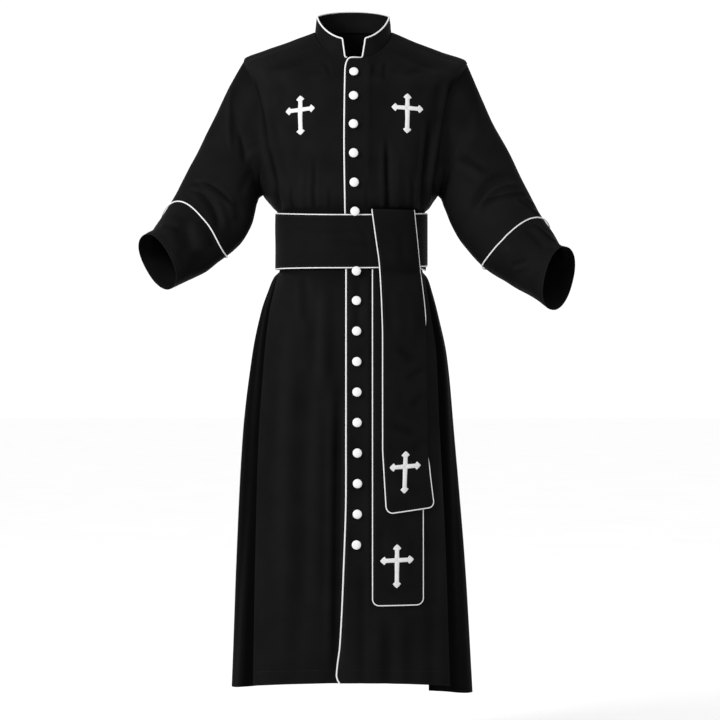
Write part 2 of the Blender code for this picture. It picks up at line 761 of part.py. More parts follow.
# ---------------------------------------------------------------- sash
def waist_point(turn, z, lift):
    """A point wound on the waist: an upright oval, moved out by lift."""
    x, y = oval_point(turn, WAIST_HALF_WIDTH + lift, WAIST_FRONT + lift, WAIST_BACK + lift,
                      WAIST_CENTRE_X, WAIST_CENTRE_Y)
    return Vector((x, y, z))


def waist_point_at_x(x, z, lift):
    """A point at this x on the front of the waist's oval, moved out by lift."""
    return waist_point(front_turn((x - WAIST_CENTRE_X) / (WAIST_HALF_WIDTH + lift)), z, lift)


def band_edge_z(turn, at_front, at_left, at_right, at_back):
    along = math.cos(math.radians(turn))
    side = at_left if math.sin(math.radians(turn)) > 0 else at_right
    return side + ((at_front if along > 0 else at_back) - side) * abs(along) ** FALL


def band_top(turn):
    return band_edge_z(turn, BAND_FRONT_TOP, BAND_SIDE_TOP, BAND_SIDE_TOP, BAND_BACK_TOP)


def band_bottom(turn):
    return band_edge_z(turn, BAND_FRONT_BOTTOM, BAND_LEFT_BOTTOM, BAND_RIGHT_BOTTOM, BAND_BACK_BOTTOM)


def band_lift(turn):
    """The band's lift: high over the tail and the inner wrap, low where it lies on the body."""
    turn = turn % 360
    rises = ease((turn - BAND_RISES[0]) / (BAND_RISES[1] - BAND_RISES[0]))
    falls = ease((turn - BAND_FALLS[0]) / (BAND_FALLS[1] - BAND_FALLS[0]))
    return between(BAND_LIFT, BAND_HIGH_LIFT, rises - falls)


def band_turns():
    """Turns of the band's columns, closer together where it rises over the tail."""
    start, end = BAND_RISES
    turns = steps(BAND_CLOSING_TURN, BAND_FALLS[0], 11)
    turns += steps(BAND_FALLS[0], 360, 28)[1:]
    turns += steps(360 + start, 360 + end, 4)
    turns += steps(360 + end, 360 + BAND_CLOSING_TURN, 3)[1:]
    turns[0] += BAND_CLOSING_GAP
    turns[-1] -= BAND_CLOSING_GAP
    return turns


def build_sash_band(cloth, collection):
    turns = band_turns()
    columns = len(turns) - 1

    def band(u, v):
        turn = turns[round(u * columns)]
        return waist_point(turn, between(band_bottom(turn), band_top(turn), v), band_lift(turn))

    cloth_sheet("sash_band", columns, 2, band, DOUBLE_CLOTH, cloth, collection)


def skirt_point_at_x(x, z, lift):
    """A point near this x and height, moved out by lift from the front of the skirt."""
    level = level_at_place(x, z, HEM_LEVEL, ARMPIT_LEVEL)
    turn = turn_at_x(x, level)
    outward = normal_of(smooth_body, turn, level, 1.0, 1.0)
    outward.z = 0
    turn = turn_at_x(x - outward.x * lift, level)
    point = smooth_body(turn, level) + outward.normalized() * lift
    return Vector((x, point.y, z))


def tail_point(x, z, lift):
    """A point of a hanging tail, on the waist's oval above and on the skirt below."""
    share = ease((TAIL_LEAVES_Z - z) / (TAIL_LEAVES_Z - TAIL_ON_SKIRT_Z))
    return waist_point_at_x(x, z, lift).lerp(skirt_point_at_x(x, z, lift), share)


def upper_tail_point(x, z, lift=0.0):
    start, end = UPPER_TAIL_SINKS
    return tail_point(x, z, lift + between(HOOK_LIFT, UPPER_TAIL_LIFT, ease((start - z) / (start - end))))


def lower_tail_point(x, z, lift=0.0):
    return tail_point(x, z, UNDER_LIFT + lift)


HOOK_RADIUS = (HOOK_LIFT - UNDER_LIFT - DOUBLE_CLOTH) / 2
HOOK_MIDDLE = HOOK_LIFT - HOOK_RADIUS


def corner_steps():
    """A tail's rounded corner: (height above the foot, inset from the side edge, angle), downwards."""
    rounded = []
    for degrees in (0, 30, 60, 90):
        angle = math.radians(degrees)
        rounded.append((TAIL_CORNER * (1 - math.sin(angle)), TAIL_CORNER * (1 - math.cos(angle)), angle))
    return rounded


def hook_path():
    """The upper tail over the band's top, in its thickness plane: (lift, z) from its hidden end outwards."""
    path = [(UNDER_LIFT + DOUBLE_CLOTH, HOOK_END_Z)]
    for degrees in steps(180, 0, 6):
        angle = math.radians(degrees)
        path.append((HOOK_MIDDLE + HOOK_RADIUS * math.cos(angle), HOOK_Z + HOOK_RADIUS * math.sin(angle)))
    return path


def tail_rows(table, foot, heights):
    """Every row of a hanging tail from the top down: its two ends as (x, z)."""
    rows = [((table.at(z, "left"), z), (table.at(z, "right"), z)) for z in heights]
    for height, inset, _ in corner_steps():
        left_z = foot[0] + height
        right_z = foot[1] + height
        rows.append(((table.at(left_z, "left") + inset, left_z), (table.at(right_z, "right") - inset, right_z)))
    return rows


def along_row(row, u):
    (left, left_z), (right, right_z) = row
    return between(left, right, u), between(left_z, right_z, u)


def build_upper_tail(cloth, collection):
    hook = hook_path()
    hanging = tail_rows(UPPER_TAIL_TABLE, UPPER_TAIL_FOOT, UPPER_TAIL_ROWS)
    rows = len(hook) + len(hanging) - 1
    hook_ends = [UPPER_TAIL_TABLE.at(HOOK_Z, side) for side in ("left", "right")]

    def upper(u, v):
        row = rows - round(v * rows)
        if row < len(hook):
            lift, z = hook[row]
            return waist_point_at_x(between(*hook_ends, u), z, lift)
        return upper_tail_point(*along_row(hanging[row - len(hook)], u))

    cloth_sheet("sash_tail_upper", TAIL_COLUMNS, rows, upper, DOUBLE_CLOTH, cloth, collection)


def build_lower_tail(cloth, collection):
    hanging = tail_rows(LOWER_TAIL_TABLE, LOWER_TAIL_FOOT, LOWER_TAIL_ROWS)
    rows = len(hanging) - 1

    def lower(u, v):
        return lower_tail_point(*along_row(hanging[rows - round(v * rows)], u))

    cloth_sheet("sash_tail_lower", TAIL_COLUMNS, rows, lower, DOUBLE_CLOTH, cloth, collection)


def build_inner_wrap(cloth, collection):
    def wrap(u, v):
        turn = between(*INNER_WRAP_TURNS, u)
        return waist_point(turn, between(INNER_WRAP_TABLE.at(turn, "z"), INNER_WRAP_TOP, v), UNDER_LIFT)

    cloth_sheet("sash_inner_wrap", 9, 1, wrap, DOUBLE_CLOTH, cloth, collection)


# ---------------------------------------------------------------- piping
def collar_end_path(end, aside):
    """Points beside a front end of the collar, from its foot past its top corner. end is 0 left, 1 right."""
    away = Vector((-aside if end == 0 else aside, 0, 0))
    points = []
    for v in (0.2, 0.5, 0.8, 1):
        points.append(collar_point(collar_end_turns(v)[end], v, DOUBLE_CLOTH / 2) + away)
    points[-1].z += aside
    return points


def build_edge_piping(white, collection):
    """The one cord up the front edge, across the notch, and round the collar's ends and rim."""
    aside = PIPING_RADIUS + PIPING_CLEAR
    front = []
    rows = [BODY_TABLE.at(level, "front_z") for level in LEVELS[-3:0:-1]]
    for z in EDGE_PIPING_FOOT + rows + [EDGE_PIPING_TOP]:
        level = front_level(z)
        x = FRONT_EDGE_TABLE.at(z, "x")
        front.append(left_front_point(x, level, EDGE_PIPING_LIFT) + Vector((-aside, 0, 0)))
    front[0] += Vector((aside, 0, -aside))
    front[1] += Vector((aside * 0.4, 0, -aside))
    front[2] += Vector((aside * 0.1, 0, -aside * 0.4))

    collar_left = collar_end_path(0, aside)
    collar_right = collar_end_path(1, aside)
    notch_y = left_front_point(0, NECK_LEVEL, EDGE_PIPING_LIFT).y
    notch_z = BODY_TABLE.rows[-1].front_z + CLOTH + aside + NOTCH_RISE
    notch = [
        Vector((-12.5, notch_y - 1.5, notch_z - 8)),
        Vector((-8.5, notch_y - 0.4, notch_z - 2)),
        Vector((-1, notch_y + 0.4, notch_z)),
        Vector((NOTCH_BASE_LEFT - aside, collar_left[0].y, notch_z)),
    ]
    rim = []
    for turn in steps(*collar_end_turns(1), COLLAR_COLUMNS)[1:-1]:
        along = collar_point(turn + 1, 1) - collar_point(turn - 1, 1)
        outward = collar_point(turn, 1, 1) - collar_point(turn, 1)
        rim.append(collar_point(turn, 1, DOUBLE_CLOTH / 2) + outward.cross(along).normalized() * aside)
    under_overlap = [
        Vector((NOTCH_BASE_RIGHT + aside, collar_right[0].y, notch_z + 0.4)),
        Vector((-11.5, collar_right[0].y + 0.6, notch_z + 1)),
    ]
    corners = notch[2:] + collar_left + [rim[0]]
    far_corners = [rim[-1]] + collar_right[::-1] + under_overlap
    path = front + notch[:2] + rounded_path(corners, 2, 2) + rim[1:-1] + rounded_path(far_corners, 2, 2)
    piping_tube("piping_edge", path, white, collection)


def build_cuff_piping(name, side, rows, seam, white, collection):
    lift = CLOTH + PIPING_RADIUS + PIPING_CLEAR
    turns = steps(0, 360, SLEEVE_COLUMNS)[:-1]
    points = [ring_point(side, rows, around, cuff_seam(seam, around), lift) for around in turns]
    piping_tube(name, points, white, collection, closed=True)


def build_band_piping(name, edge, away, white, collection):
    """Piping along the band's top (away +1) or bottom (away -1)."""
    aside = away * (PIPING_RADIUS + PIPING_CLEAR)
    points = []
    for turn in band_turns():
        points.append(waist_point(turn, edge(turn) + aside, band_lift(turn) + DOUBLE_CLOTH / 2))
    piping_tube(name, points, white, collection)


def beside(place, x, z, away, lift):
    """A point beside a sheet's edge: away is how far out along the sheet, as (across, up)."""
    across = (place(x + 0.5, z) - place(x - 0.5, z)).normalized()
    up = (place(x, z + 0.5) - place(x, z - 0.5)).normalized()
    return place(x, z) + across * away[0] + up * away[1] + across.cross(up) * lift


def hook_piping(side, aside):
    """The cord of the upper tail's edge over the top of the hook, from its hidden end outwards."""
    x = UPPER_TAIL_TABLE.at(HOOK_Z, side)
    path = []
    for degrees in (90, 60, 30, 0):
        angle = math.radians(degrees)
        lift = HOOK_MIDDLE + HOOK_RADIUS * math.cos(angle)
        z = HOOK_Z + HOOK_RADIUS * math.sin(angle)
        across = (waist_point_at_x(x + 0.5, z, lift) - waist_point_at_x(x - 0.5, z, lift)).normalized()
        outward = across.cross(Vector((0, 0, 1))) * math.cos(angle) + Vector((0, 0, math.sin(angle)))
        path.append(waist_point_at_x(x, z, lift) + across * aside + outward * TAIL_PIPING_LIFT)
    return path


def tail_piping(table, place, foot, heights, tucked_heights, lift):
    """The cord down a tail's left edge, round its foot and up its right edge."""
    aside = PIPING_RADIUS + PIPING_CLEAR
    path = [beside(place, table.at(z, "left"), z, (-aside, 0), lift) for z in heights]
    for height, inset, angle in corner_steps():
        z = foot[0] + height
        away = (-aside * math.cos(angle), -aside * math.sin(angle))
        path.append(beside(place, table.at(z, "left") + inset, z, away, lift))
    left = (table.at(foot[0], "left") + TAIL_CORNER, foot[0])
    right = (table.at(foot[1], "right") - TAIL_CORNER, foot[1])
    for t in steps(0, 1, TAIL_COLUMNS)[1:-1]:
        path.append(beside(place, *along_row((left, right), t), (0, -aside), lift))
    for height, inset, angle in reversed(corner_steps()):
        z = foot[1] + height
        away = (aside * math.cos(angle), -aside * math.sin(angle))
        path.append(beside(place, table.at(z, "right") - inset, z, away, lift))
    for z in sorted(heights + tucked_heights):
        tucked = table.at(z, "tucked")
        behind = min(2 * tucked, 1)
        inward = max(2 * tucked - 1, 0)
        away = (between(aside, TUCKED_ASIDE, inward), 0)
        path.append(beside(place, table.at(z, "right"), z, away, lift - TUCKED_BEHIND * behind))
    return path


def build_tail_piping(white, collection):
    aside = PIPING_RADIUS + PIPING_CLEAR
    upper = tail_piping(UPPER_TAIL_TABLE, upper_tail_point, UPPER_TAIL_FOOT, UPPER_TAIL_ROWS,
                        TUCK_HEIGHTS, TAIL_PIPING_LIFT)
    path = hook_piping("left", -aside) + upper + hook_piping("right", aside)[::-1]
    piping_tube("piping_tail_upper", path, white, collection)

    middle = DOUBLE_CLOTH / 2
    path = tail_piping(LOWER_TAIL_TABLE, lower_tail_point, LOWER_TAIL_FOOT, LOWER_TAIL_ROWS[2:], [], middle)
    piping_tube("piping_tail_lower", path, white, collection)


def build_inner_wrap_piping(white, collection):
    path = []
    for turn in steps(INNER_WRAP_TURNS[0], INNER_WRAP_PIPED, 5):
        z = INNER_WRAP_TABLE.at(turn, "z") - PIPING_RADIUS - PIPING_CLEAR
        path.append(waist_point(turn, z, UNDER_LIFT + DOUBLE_CLOTH / 2))
    piping_tube("piping_inner_wrap", path, white, collection)


# ---------------------------------------------------------------- buttons
def button_mesh(name, shank, white):
    """A mesh of half a covered button's outline on its shank, from the dome's top to the shank's foot."""
    half = BUTTON_HEIGHT / 2
    outline = [(0, shank + BUTTON_HEIGHT)]
    for degrees in (36, 78):
        angle = math.radians(degrees)
        outline.append((BUTTON_RADIUS * math.sin(angle), shank + half * (1 + math.cos(angle))))
    outline += [
        (BUTTON_RADIUS * 0.93, shank + 1.2),
        (BUTTON_RADIUS * 0.8, shank),
        (SHANK_RADIUS, shank),
        (SHANK_RADIUS, 0),
        (0, 0),
    ]
    edges = [(i, i + 1) for i in range(len(outline) - 1)]
    mesh = bpy.data.meshes.new(name)
    mesh.from_pydata([(radius * MM, 0, height * MM) for radius, height in outline], edges, [])
    mesh.materials.append(white)
    return mesh


def build_buttons(white, collection):
    """Covered shank buttons down the left front, each a turned dome."""
    short = button_mesh("button", SHANK, white)
    long = button_mesh("button_on_long_shank", LONG_SHANK, white)
    heights = [TOP_BUTTON_Z]
    heights += [CHEST_BUTTON_Z - CHEST_BUTTON_STEP * i for i in range(CHEST_BUTTONS)]
    heights += [SKIRT_BUTTON_Z - SKIRT_BUTTON_STEP * i for i in range(SKIRT_BUTTONS)]
    beside_sash = (CHEST_BUTTONS, CHEST_BUTTONS + 1)
    for number, z in enumerate(heights):
        level = front_level(z)
        down = (heights[0] - z) / (heights[0] - heights[-1])
        x = FRONT_EDGE_TABLE.at(z, "x") + between(*BUTTON_FROM_EDGE, down)
        place = left_front_point(x, level, CLOTH + SEAM_GAP)
        normal = normal_of(smooth_body, turn_at_x(x, level), level, 1.0, 1.0)
        mesh = short
        if number in beside_sash:
            place.y -= SHANK_CLEAR
            normal.z = 0
            mesh = long
        button = bpy.data.objects.new(f"button_{number + 1:02d}", mesh)
        collection.objects.link(button)
        button.location = place * MM
        button.rotation_euler = normal.to_track_quat("Z", "Y").to_euler()
        turned = button.modifiers.new("turned", "SCREW")
        turned.steps = BUTTON_STEPS
        turned.render_steps = BUTTON_STEPS
        turned.use_merge_vertices = True
        turned.merge_threshold = 0.01 * MM
        turned.use_smooth_shade = True


# ---------------------------------------------------------------- crosses
def cross_arm(length):
    """Half-widths along an arm, from the middle square to the pointed, barbed end: (distance, half-width)."""
    return [(CROSS_MIDDLE, CROSS_MIDDLE), ((length - 7) / 2, 4.8), (length - 12, 4.8), (length - 8.5, 9.2),
            (length - 4, 5.4), (length, 0.8)]


def build_cross(cross, surface, white, collection):
    """A flat embroidered cross laid on a panel: four lofted arms round a square, then its wall."""
    bm = bmesh.new()
    upright = math.radians(cross.upright)
    bar = math.radians(cross.bar)

    def placed(side, up):
        x = cross.x + side * math.cos(bar) + up * math.sin(upright)
        z = cross.z + side * math.sin(bar) + up * math.cos(upright)
        return bm.verts.new(surface(x, z) * MM)

    corners = {(i, j): placed(CROSS_MIDDLE * i, CROSS_MIDDLE * j) for i in (-1, 1) for j in (-1, 1)}
    bm.faces.new([corners[-1, -1], corners[1, -1], corners[1, 1], corners[-1, 1]])
    side = CROSS_SIDE * cross.wide
    arms = [(0, 1, CROSS_TOP * cross.tall), (0, -1, CROSS_FOOT * cross.tall), (-1, 0, side), (1, 0, side)]
    for along_x, along_z, length in arms:
        near = [corners[along_x or -along_z, along_z or along_x], corners[along_x or along_z, along_z or -along_x]]
        for distance, half in cross_arm(length)[1:]:
            far = [
                placed(along_x * distance - along_z * half, along_z * distance + along_x * half),
                placed(along_x * distance + along_z * half, along_z * distance - along_x * half),
            ]
            bm.faces.new([near[0], near[1], far[1], far[0]])
            near = far
    mesh = bpy.data.meshes.new(cross.name)
    bm.to_mesh(mesh)
    bm.free()
    piece = add_object(cross.name, mesh, white, collection)
    wall = piece.modifiers.new("wall", "SOLIDIFY")
    wall.thickness = CROSS_THICKNESS * MM
    wall.offset = 1.0


def build_crosses(white, collection):
    def on_front(x, z):
        level = level_at_place(x, z, ARMPIT_LEVEL, TIP_LEVEL)
        return body_point(turn_at_x(x, level), level, CLOTH + CROSS_LIFT)

    def on_upper_tail(x, z):
        return upper_tail_point(x, z, DOUBLE_CLOTH + CROSS_LIFT)

    def on_lower_tail(x, z):
        return lower_tail_point(x, z, DOUBLE_CLOTH + CROSS_LIFT)

    surfaces = {
        "front": on_front,
        "upper_tail": on_upper_tail,
        "lower_tail": on_lower_tail,
    }
    for cross in CROSSES:
        build_cross(cross, surfaces[cross.panel], white, collection)


# ---------------------------------------------------------------- the whole garment
def main():
    for old in list(bpy.data.objects):
        bpy.data.objects.remove(old, do_unlink=True)
    garment = new_collection("cassock")
    cloth = make_material("black_suiting", BLACK, 0.78)
    sash = make_material("black_sash_cloth", BLACK, 0.72)
    piping = make_material("white_piping", WHITE, 0.55)
    buttons = make_material("white_covered_button", WHITE, 0.5)
    embroidery = make_material("white_embroidery", WHITE, 0.6)

    build_fronts(cloth, garment)
    build_back(cloth, garment)
    build_gore("gore_left", 1, GORE_DROP, cloth, garment)
    build_gore("gore_right", -1, 0, cloth, garment)
    build_collar(cloth, garment)
    sleeves = (("left", 1, SLEEVE_LEFT, CUFF_SEAM_LEFT), ("right", -1, SLEEVE_RIGHT, CUFF_SEAM_RIGHT))
    for name, side, rows, seam in sleeves:
        build_sleeve(f"sleeve_{name}", side, rows, seam, cloth, garment)
        build_cuff(f"cuff_{name}", side, rows, seam, cloth, garment)
        build_cuff_piping(f"piping_cuff_{name}", side, rows, seam, piping, garment)
    build_sash_band(sash, garment)
    build_inner_wrap(sash, garment)
    build_upper_tail(sash, garment)
    build_lower_tail(sash, garment)
    build_edge_piping(piping, garment)
    build_band_piping("piping_band_top", band_top, 1, piping, garment)
    build_band_piping("piping_band_bottom", band_bottom, -1, piping, garment)
    build_tail_piping(piping, garment)
    build_inner_wrap_piping(piping, garment)
    build_buttons(buttons, garment)
    build_crosses(embroidery, garment)


main()
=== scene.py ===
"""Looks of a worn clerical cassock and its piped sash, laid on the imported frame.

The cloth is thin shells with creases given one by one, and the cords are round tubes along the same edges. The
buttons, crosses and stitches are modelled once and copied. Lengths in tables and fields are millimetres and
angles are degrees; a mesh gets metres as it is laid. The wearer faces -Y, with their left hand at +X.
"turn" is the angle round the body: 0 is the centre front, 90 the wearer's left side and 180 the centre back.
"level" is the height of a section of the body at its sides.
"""
import json
import logging
import math
from dataclasses import dataclass, field
from enum import Enum
from typing import Callable, NamedTuple, Sequence

import bpy
import numpy as np
from mathutils import Matrix, Vector
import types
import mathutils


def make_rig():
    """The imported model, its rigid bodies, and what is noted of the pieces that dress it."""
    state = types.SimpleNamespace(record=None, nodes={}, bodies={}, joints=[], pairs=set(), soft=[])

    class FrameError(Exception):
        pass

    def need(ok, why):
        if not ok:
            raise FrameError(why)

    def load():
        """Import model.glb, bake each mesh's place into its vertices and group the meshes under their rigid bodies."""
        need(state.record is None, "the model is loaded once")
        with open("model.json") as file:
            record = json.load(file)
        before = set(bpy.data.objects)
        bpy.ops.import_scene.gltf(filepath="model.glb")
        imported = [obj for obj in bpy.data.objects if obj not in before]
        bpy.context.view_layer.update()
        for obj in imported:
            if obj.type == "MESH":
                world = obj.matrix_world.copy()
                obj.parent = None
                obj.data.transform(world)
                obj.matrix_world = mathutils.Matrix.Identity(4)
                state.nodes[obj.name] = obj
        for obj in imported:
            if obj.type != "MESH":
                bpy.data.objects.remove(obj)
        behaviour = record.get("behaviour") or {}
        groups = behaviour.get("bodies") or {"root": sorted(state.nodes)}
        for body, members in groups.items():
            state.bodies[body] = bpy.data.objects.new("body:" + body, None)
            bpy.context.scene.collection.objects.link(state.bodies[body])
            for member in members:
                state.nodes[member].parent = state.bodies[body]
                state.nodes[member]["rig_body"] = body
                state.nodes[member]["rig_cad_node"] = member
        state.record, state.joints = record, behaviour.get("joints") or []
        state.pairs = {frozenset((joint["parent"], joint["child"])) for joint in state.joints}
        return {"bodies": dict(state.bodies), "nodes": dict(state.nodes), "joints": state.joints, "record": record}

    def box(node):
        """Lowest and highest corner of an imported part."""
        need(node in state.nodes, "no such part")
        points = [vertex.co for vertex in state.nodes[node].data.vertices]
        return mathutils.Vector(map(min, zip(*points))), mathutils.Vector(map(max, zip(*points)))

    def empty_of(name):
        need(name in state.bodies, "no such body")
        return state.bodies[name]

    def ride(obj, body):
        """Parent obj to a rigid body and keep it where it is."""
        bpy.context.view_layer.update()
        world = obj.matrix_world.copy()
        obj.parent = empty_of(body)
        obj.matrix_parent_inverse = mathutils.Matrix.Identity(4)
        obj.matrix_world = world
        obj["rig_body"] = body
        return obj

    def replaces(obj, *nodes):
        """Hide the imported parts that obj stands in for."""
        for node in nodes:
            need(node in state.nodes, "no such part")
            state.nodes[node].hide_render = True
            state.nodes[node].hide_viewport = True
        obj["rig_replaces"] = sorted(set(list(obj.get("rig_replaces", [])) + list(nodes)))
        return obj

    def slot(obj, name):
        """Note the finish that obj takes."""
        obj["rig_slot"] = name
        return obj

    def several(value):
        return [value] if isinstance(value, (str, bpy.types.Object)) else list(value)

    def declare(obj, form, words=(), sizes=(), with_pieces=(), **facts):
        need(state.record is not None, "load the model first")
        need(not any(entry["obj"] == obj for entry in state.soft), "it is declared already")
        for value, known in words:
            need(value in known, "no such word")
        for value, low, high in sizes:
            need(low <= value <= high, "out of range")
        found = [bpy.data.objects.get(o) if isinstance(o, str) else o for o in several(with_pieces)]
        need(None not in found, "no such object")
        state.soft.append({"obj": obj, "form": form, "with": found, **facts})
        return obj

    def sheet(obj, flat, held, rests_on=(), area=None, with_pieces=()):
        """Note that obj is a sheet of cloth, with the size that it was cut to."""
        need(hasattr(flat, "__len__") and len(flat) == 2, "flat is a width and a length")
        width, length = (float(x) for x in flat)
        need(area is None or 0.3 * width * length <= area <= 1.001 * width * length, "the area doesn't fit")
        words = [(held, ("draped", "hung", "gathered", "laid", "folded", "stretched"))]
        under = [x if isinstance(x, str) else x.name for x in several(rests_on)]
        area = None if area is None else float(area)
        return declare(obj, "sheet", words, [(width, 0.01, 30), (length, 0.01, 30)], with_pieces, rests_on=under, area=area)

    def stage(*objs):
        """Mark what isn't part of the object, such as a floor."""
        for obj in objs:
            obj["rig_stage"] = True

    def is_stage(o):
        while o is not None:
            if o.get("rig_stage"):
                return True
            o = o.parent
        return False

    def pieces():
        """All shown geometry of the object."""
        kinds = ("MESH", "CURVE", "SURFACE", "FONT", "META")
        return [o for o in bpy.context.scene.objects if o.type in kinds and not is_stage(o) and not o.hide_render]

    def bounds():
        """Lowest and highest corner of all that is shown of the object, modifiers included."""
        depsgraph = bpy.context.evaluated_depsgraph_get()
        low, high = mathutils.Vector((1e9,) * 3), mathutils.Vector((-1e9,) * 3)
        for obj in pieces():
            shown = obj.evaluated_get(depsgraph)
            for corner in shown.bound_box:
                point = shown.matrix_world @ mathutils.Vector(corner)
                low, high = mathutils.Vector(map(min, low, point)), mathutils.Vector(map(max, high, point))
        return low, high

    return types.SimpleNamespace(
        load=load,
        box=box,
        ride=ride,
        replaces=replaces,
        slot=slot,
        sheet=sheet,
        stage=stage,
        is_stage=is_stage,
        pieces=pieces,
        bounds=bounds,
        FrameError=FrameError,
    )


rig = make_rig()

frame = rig.load()
cad_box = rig.bounds()

log = logging.getLogger("cassock")
MM = 0.001
Array = np.ndarray
Piece = bpy.types.Object
Material = bpy.types.Material
Socket = bpy.types.NodeSocket
Place = Callable[[Array, Array], Array]


class Side(Enum):
    """The wearer's two sides, as the sign of x."""

    LEFT = 1
    RIGHT = -1


class Facing(Enum):
    """Which half of the garment a crease lies on, as the sign of y."""

    FRONT = -1
    BACK = 1


class Hold(Enum):
    """How a piece of cloth is held in the worn garment."""

    HUNG = "hung"
    STRETCHED = "stretched"
    LAID = "laid"


class Slot(Enum):
    """The record's material slots."""

    SUITING = "black_suiting"
    SASH = "black_sash_cloth"
    PIPING = "white_piping"
    BUTTON = "white_covered_button"
    EMBROIDERY = "white_embroidery"


# ---------------------------------------------------------------- small mathematics on arrays
def ease(t: Array) -> Array:
    """0 to 1 with level ends."""
    t = np.clip(t, 0.0, 1.0)
    return t * t * (3 - 2 * t)


def signed_power(value: Array, power: float) -> Array:
    """A power of the size of a value, with the value's sign."""
    return np.sign(value) * np.abs(value) ** power


def unit(vectors: Array) -> Array:
    """Vectors of length 1 along the last axis."""
    return vectors / np.maximum(np.linalg.norm(vectors, axis=-1, keepdims=True), 1e-12)


def point_array(x: Array, y: Array, z: Array) -> Array:
    """Coordinates put together as points along a last axis."""
    return np.stack(np.broadcast_arrays(x, y, z), axis=-1).astype(float)


def spread(count: int, width: float, near: Sequence[float] = (0, 0.8, 1.7, 3.0, 4.6)) -> Array:
    """Shares from 0 to 1 that are closer together at both edges of a panel.

    Args:
        count: number of even steps between the edges' own columns.
        width: the panel's width.
        near: distances from an edge that get a column of their own.

    Returns:
        The shares, in order.
    """
    edge = np.array(near) / width
    even = np.linspace(edge[-1], 1 - edge[-1], count)
    return np.concatenate([edge[:-1], even, 1 - edge[-2::-1]])


class SmoothTable:
    """Rows of named columns, read at any value of the first by monotone cubic interpolation."""

    def __init__(self, rows: Sequence[NamedTuple]) -> None:
        """Keep the rows in order and work out the slope of every column at every row.

        Args:
            rows: named tuples whose first column is the key.
        """
        ordered = sorted(rows, key=lambda row: row[0])
        self.names = ordered[0]._fields
        self.values = np.array(ordered, dtype=float)
        self.keys = self.values[:, 0]
        self.spans = np.diff(self.keys)
        slopes = np.diff(self.values, axis=0) / self.spans[:, None]
        before, after = slopes[:-1], slopes[1:]
        total = np.where(before * after > 0, before + after, 1.0)
        inner = np.where(before * after > 0, 2 * before * after / total, 0.0)
        self.tangents = np.vstack([slopes[:1], inner, slopes[-1:]])

    def at(self, key: Array, column: str) -> Array:
        """A column's value at a key.

        Args:
            key: values of the first column.
            column: the column's name.

        Returns:
            The column's values.
        """
        c = self.names.index(column)
        key = np.clip(key, self.keys[0], self.keys[-1])
        i = np.clip(np.searchsorted(self.keys, key, side="right") - 1, 0, len(self.keys) - 2)
        t = (key - self.keys[i]) / self.spans[i]
        low, high = self.values[i, c], self.values[i + 1, c]
        rise = (1 + 2 * t) * (1 - t) ** 2 * low + t * t * (3 - 2 * t) * high
        lean_in = t * (1 - t) ** 2 * self.tangents[i, c]
        lean_out = t * t * (1 - t) * self.tangents[i + 1, c]
        return rise + self.spans[i] * (lean_in - lean_out)


class SoftNoise:
    """Smooth random unevenness, the same each run, that repeats every 360 across."""

    def __init__(self, seed: int, across: float, along: float) -> None:
        """Fill a lattice of random heights.

        Args:
            seed: chooses the lattice.
            across: size of a cell in the direction that repeats, a divisor of 360.
            along: size of a cell in the other direction.
        """
        self.across = across
        self.along = along
        self.cells = int(round(360 / across))
        self.lattice = np.random.default_rng(seed).uniform(-1, 1, (64, self.cells))

    def at(self, across: Array, along: Array) -> Array:
        """The unevenness, from -1 to 1, at a place.

        Args:
            across: place in the direction that repeats.
            along: place in the other direction.

        Returns:
            The unevenness.
        """
        across, along = np.broadcast_arrays(across, along)
        i = along / self.along + 1000.3
        j = across / self.across + 1000.7
        row, column = np.floor(i).astype(int), np.floor(j).astype(int)
        up, over = ease(i - row), ease(j - column)
        low = self.corner(row, column) * (1 - over) + self.corner(row, column + 1) * over
        high = self.corner(row + 1, column) * (1 - over) + self.corner(row + 1, column + 1) * over
        return low * (1 - up) + high * up

    def corner(self, row: Array, column: Array) -> Array:
        """The lattice's own height at whole rows and columns."""
        return self.lattice[row % 64, column % self.cells]


def oval_xy(turn: Array, half_width: Array, front: Array, back: Array, cx: Array,
            cy: Array) -> tuple[Array, Array]:
    """x and y on a rounded oval with its own depth at the front and at the back.

    Args:
        turn: angle round the body.
        half_width: half its width.
        front: its depth before the middle.
        back: its depth behind the middle.
        cx: x of its middle.
        cy: y of its middle.

    Returns:
        x and y.
    """
    angle = np.radians(turn)
    depth = np.where(np.cos(angle) > 0, front, back)
    x = cx + half_width * signed_power(np.sin(angle), OVAL)
    return x, cy - depth * signed_power(np.cos(angle), OVAL)


def front_turn(share: Array) -> Array:
    """The turn on the front of an oval at a share of its half-width from its middle."""
    return np.degrees(np.arcsin(signed_power(np.clip(share, -1, 1), 1 / OVAL)))


# ---------------------------------------------------------------- the garment's cut, as worn
OVAL = 2 / 2.25             # roundness of every body section
FALL = 1.25                 # how quickly a section drops from its side to its front or back
NECK, TIP, ARMPIT, WAIST, HEM = 0, -60, -340, -437, -1373
SHOULDER_LEAN = 3
CLOTH = 1.6
DOUBLE_CLOTH = 2.2
EDGE_CORD, CUFF_CORD, SASH_CORD = 1.6, 1.4, 1.25     # radii of the cords


class Section(NamedTuple):
    """One level section of the body."""

    level: float
    front_z: float
    back_z: float
    half_width: float
    centre_x: float
    front: float
    back: float
    centre_y: float


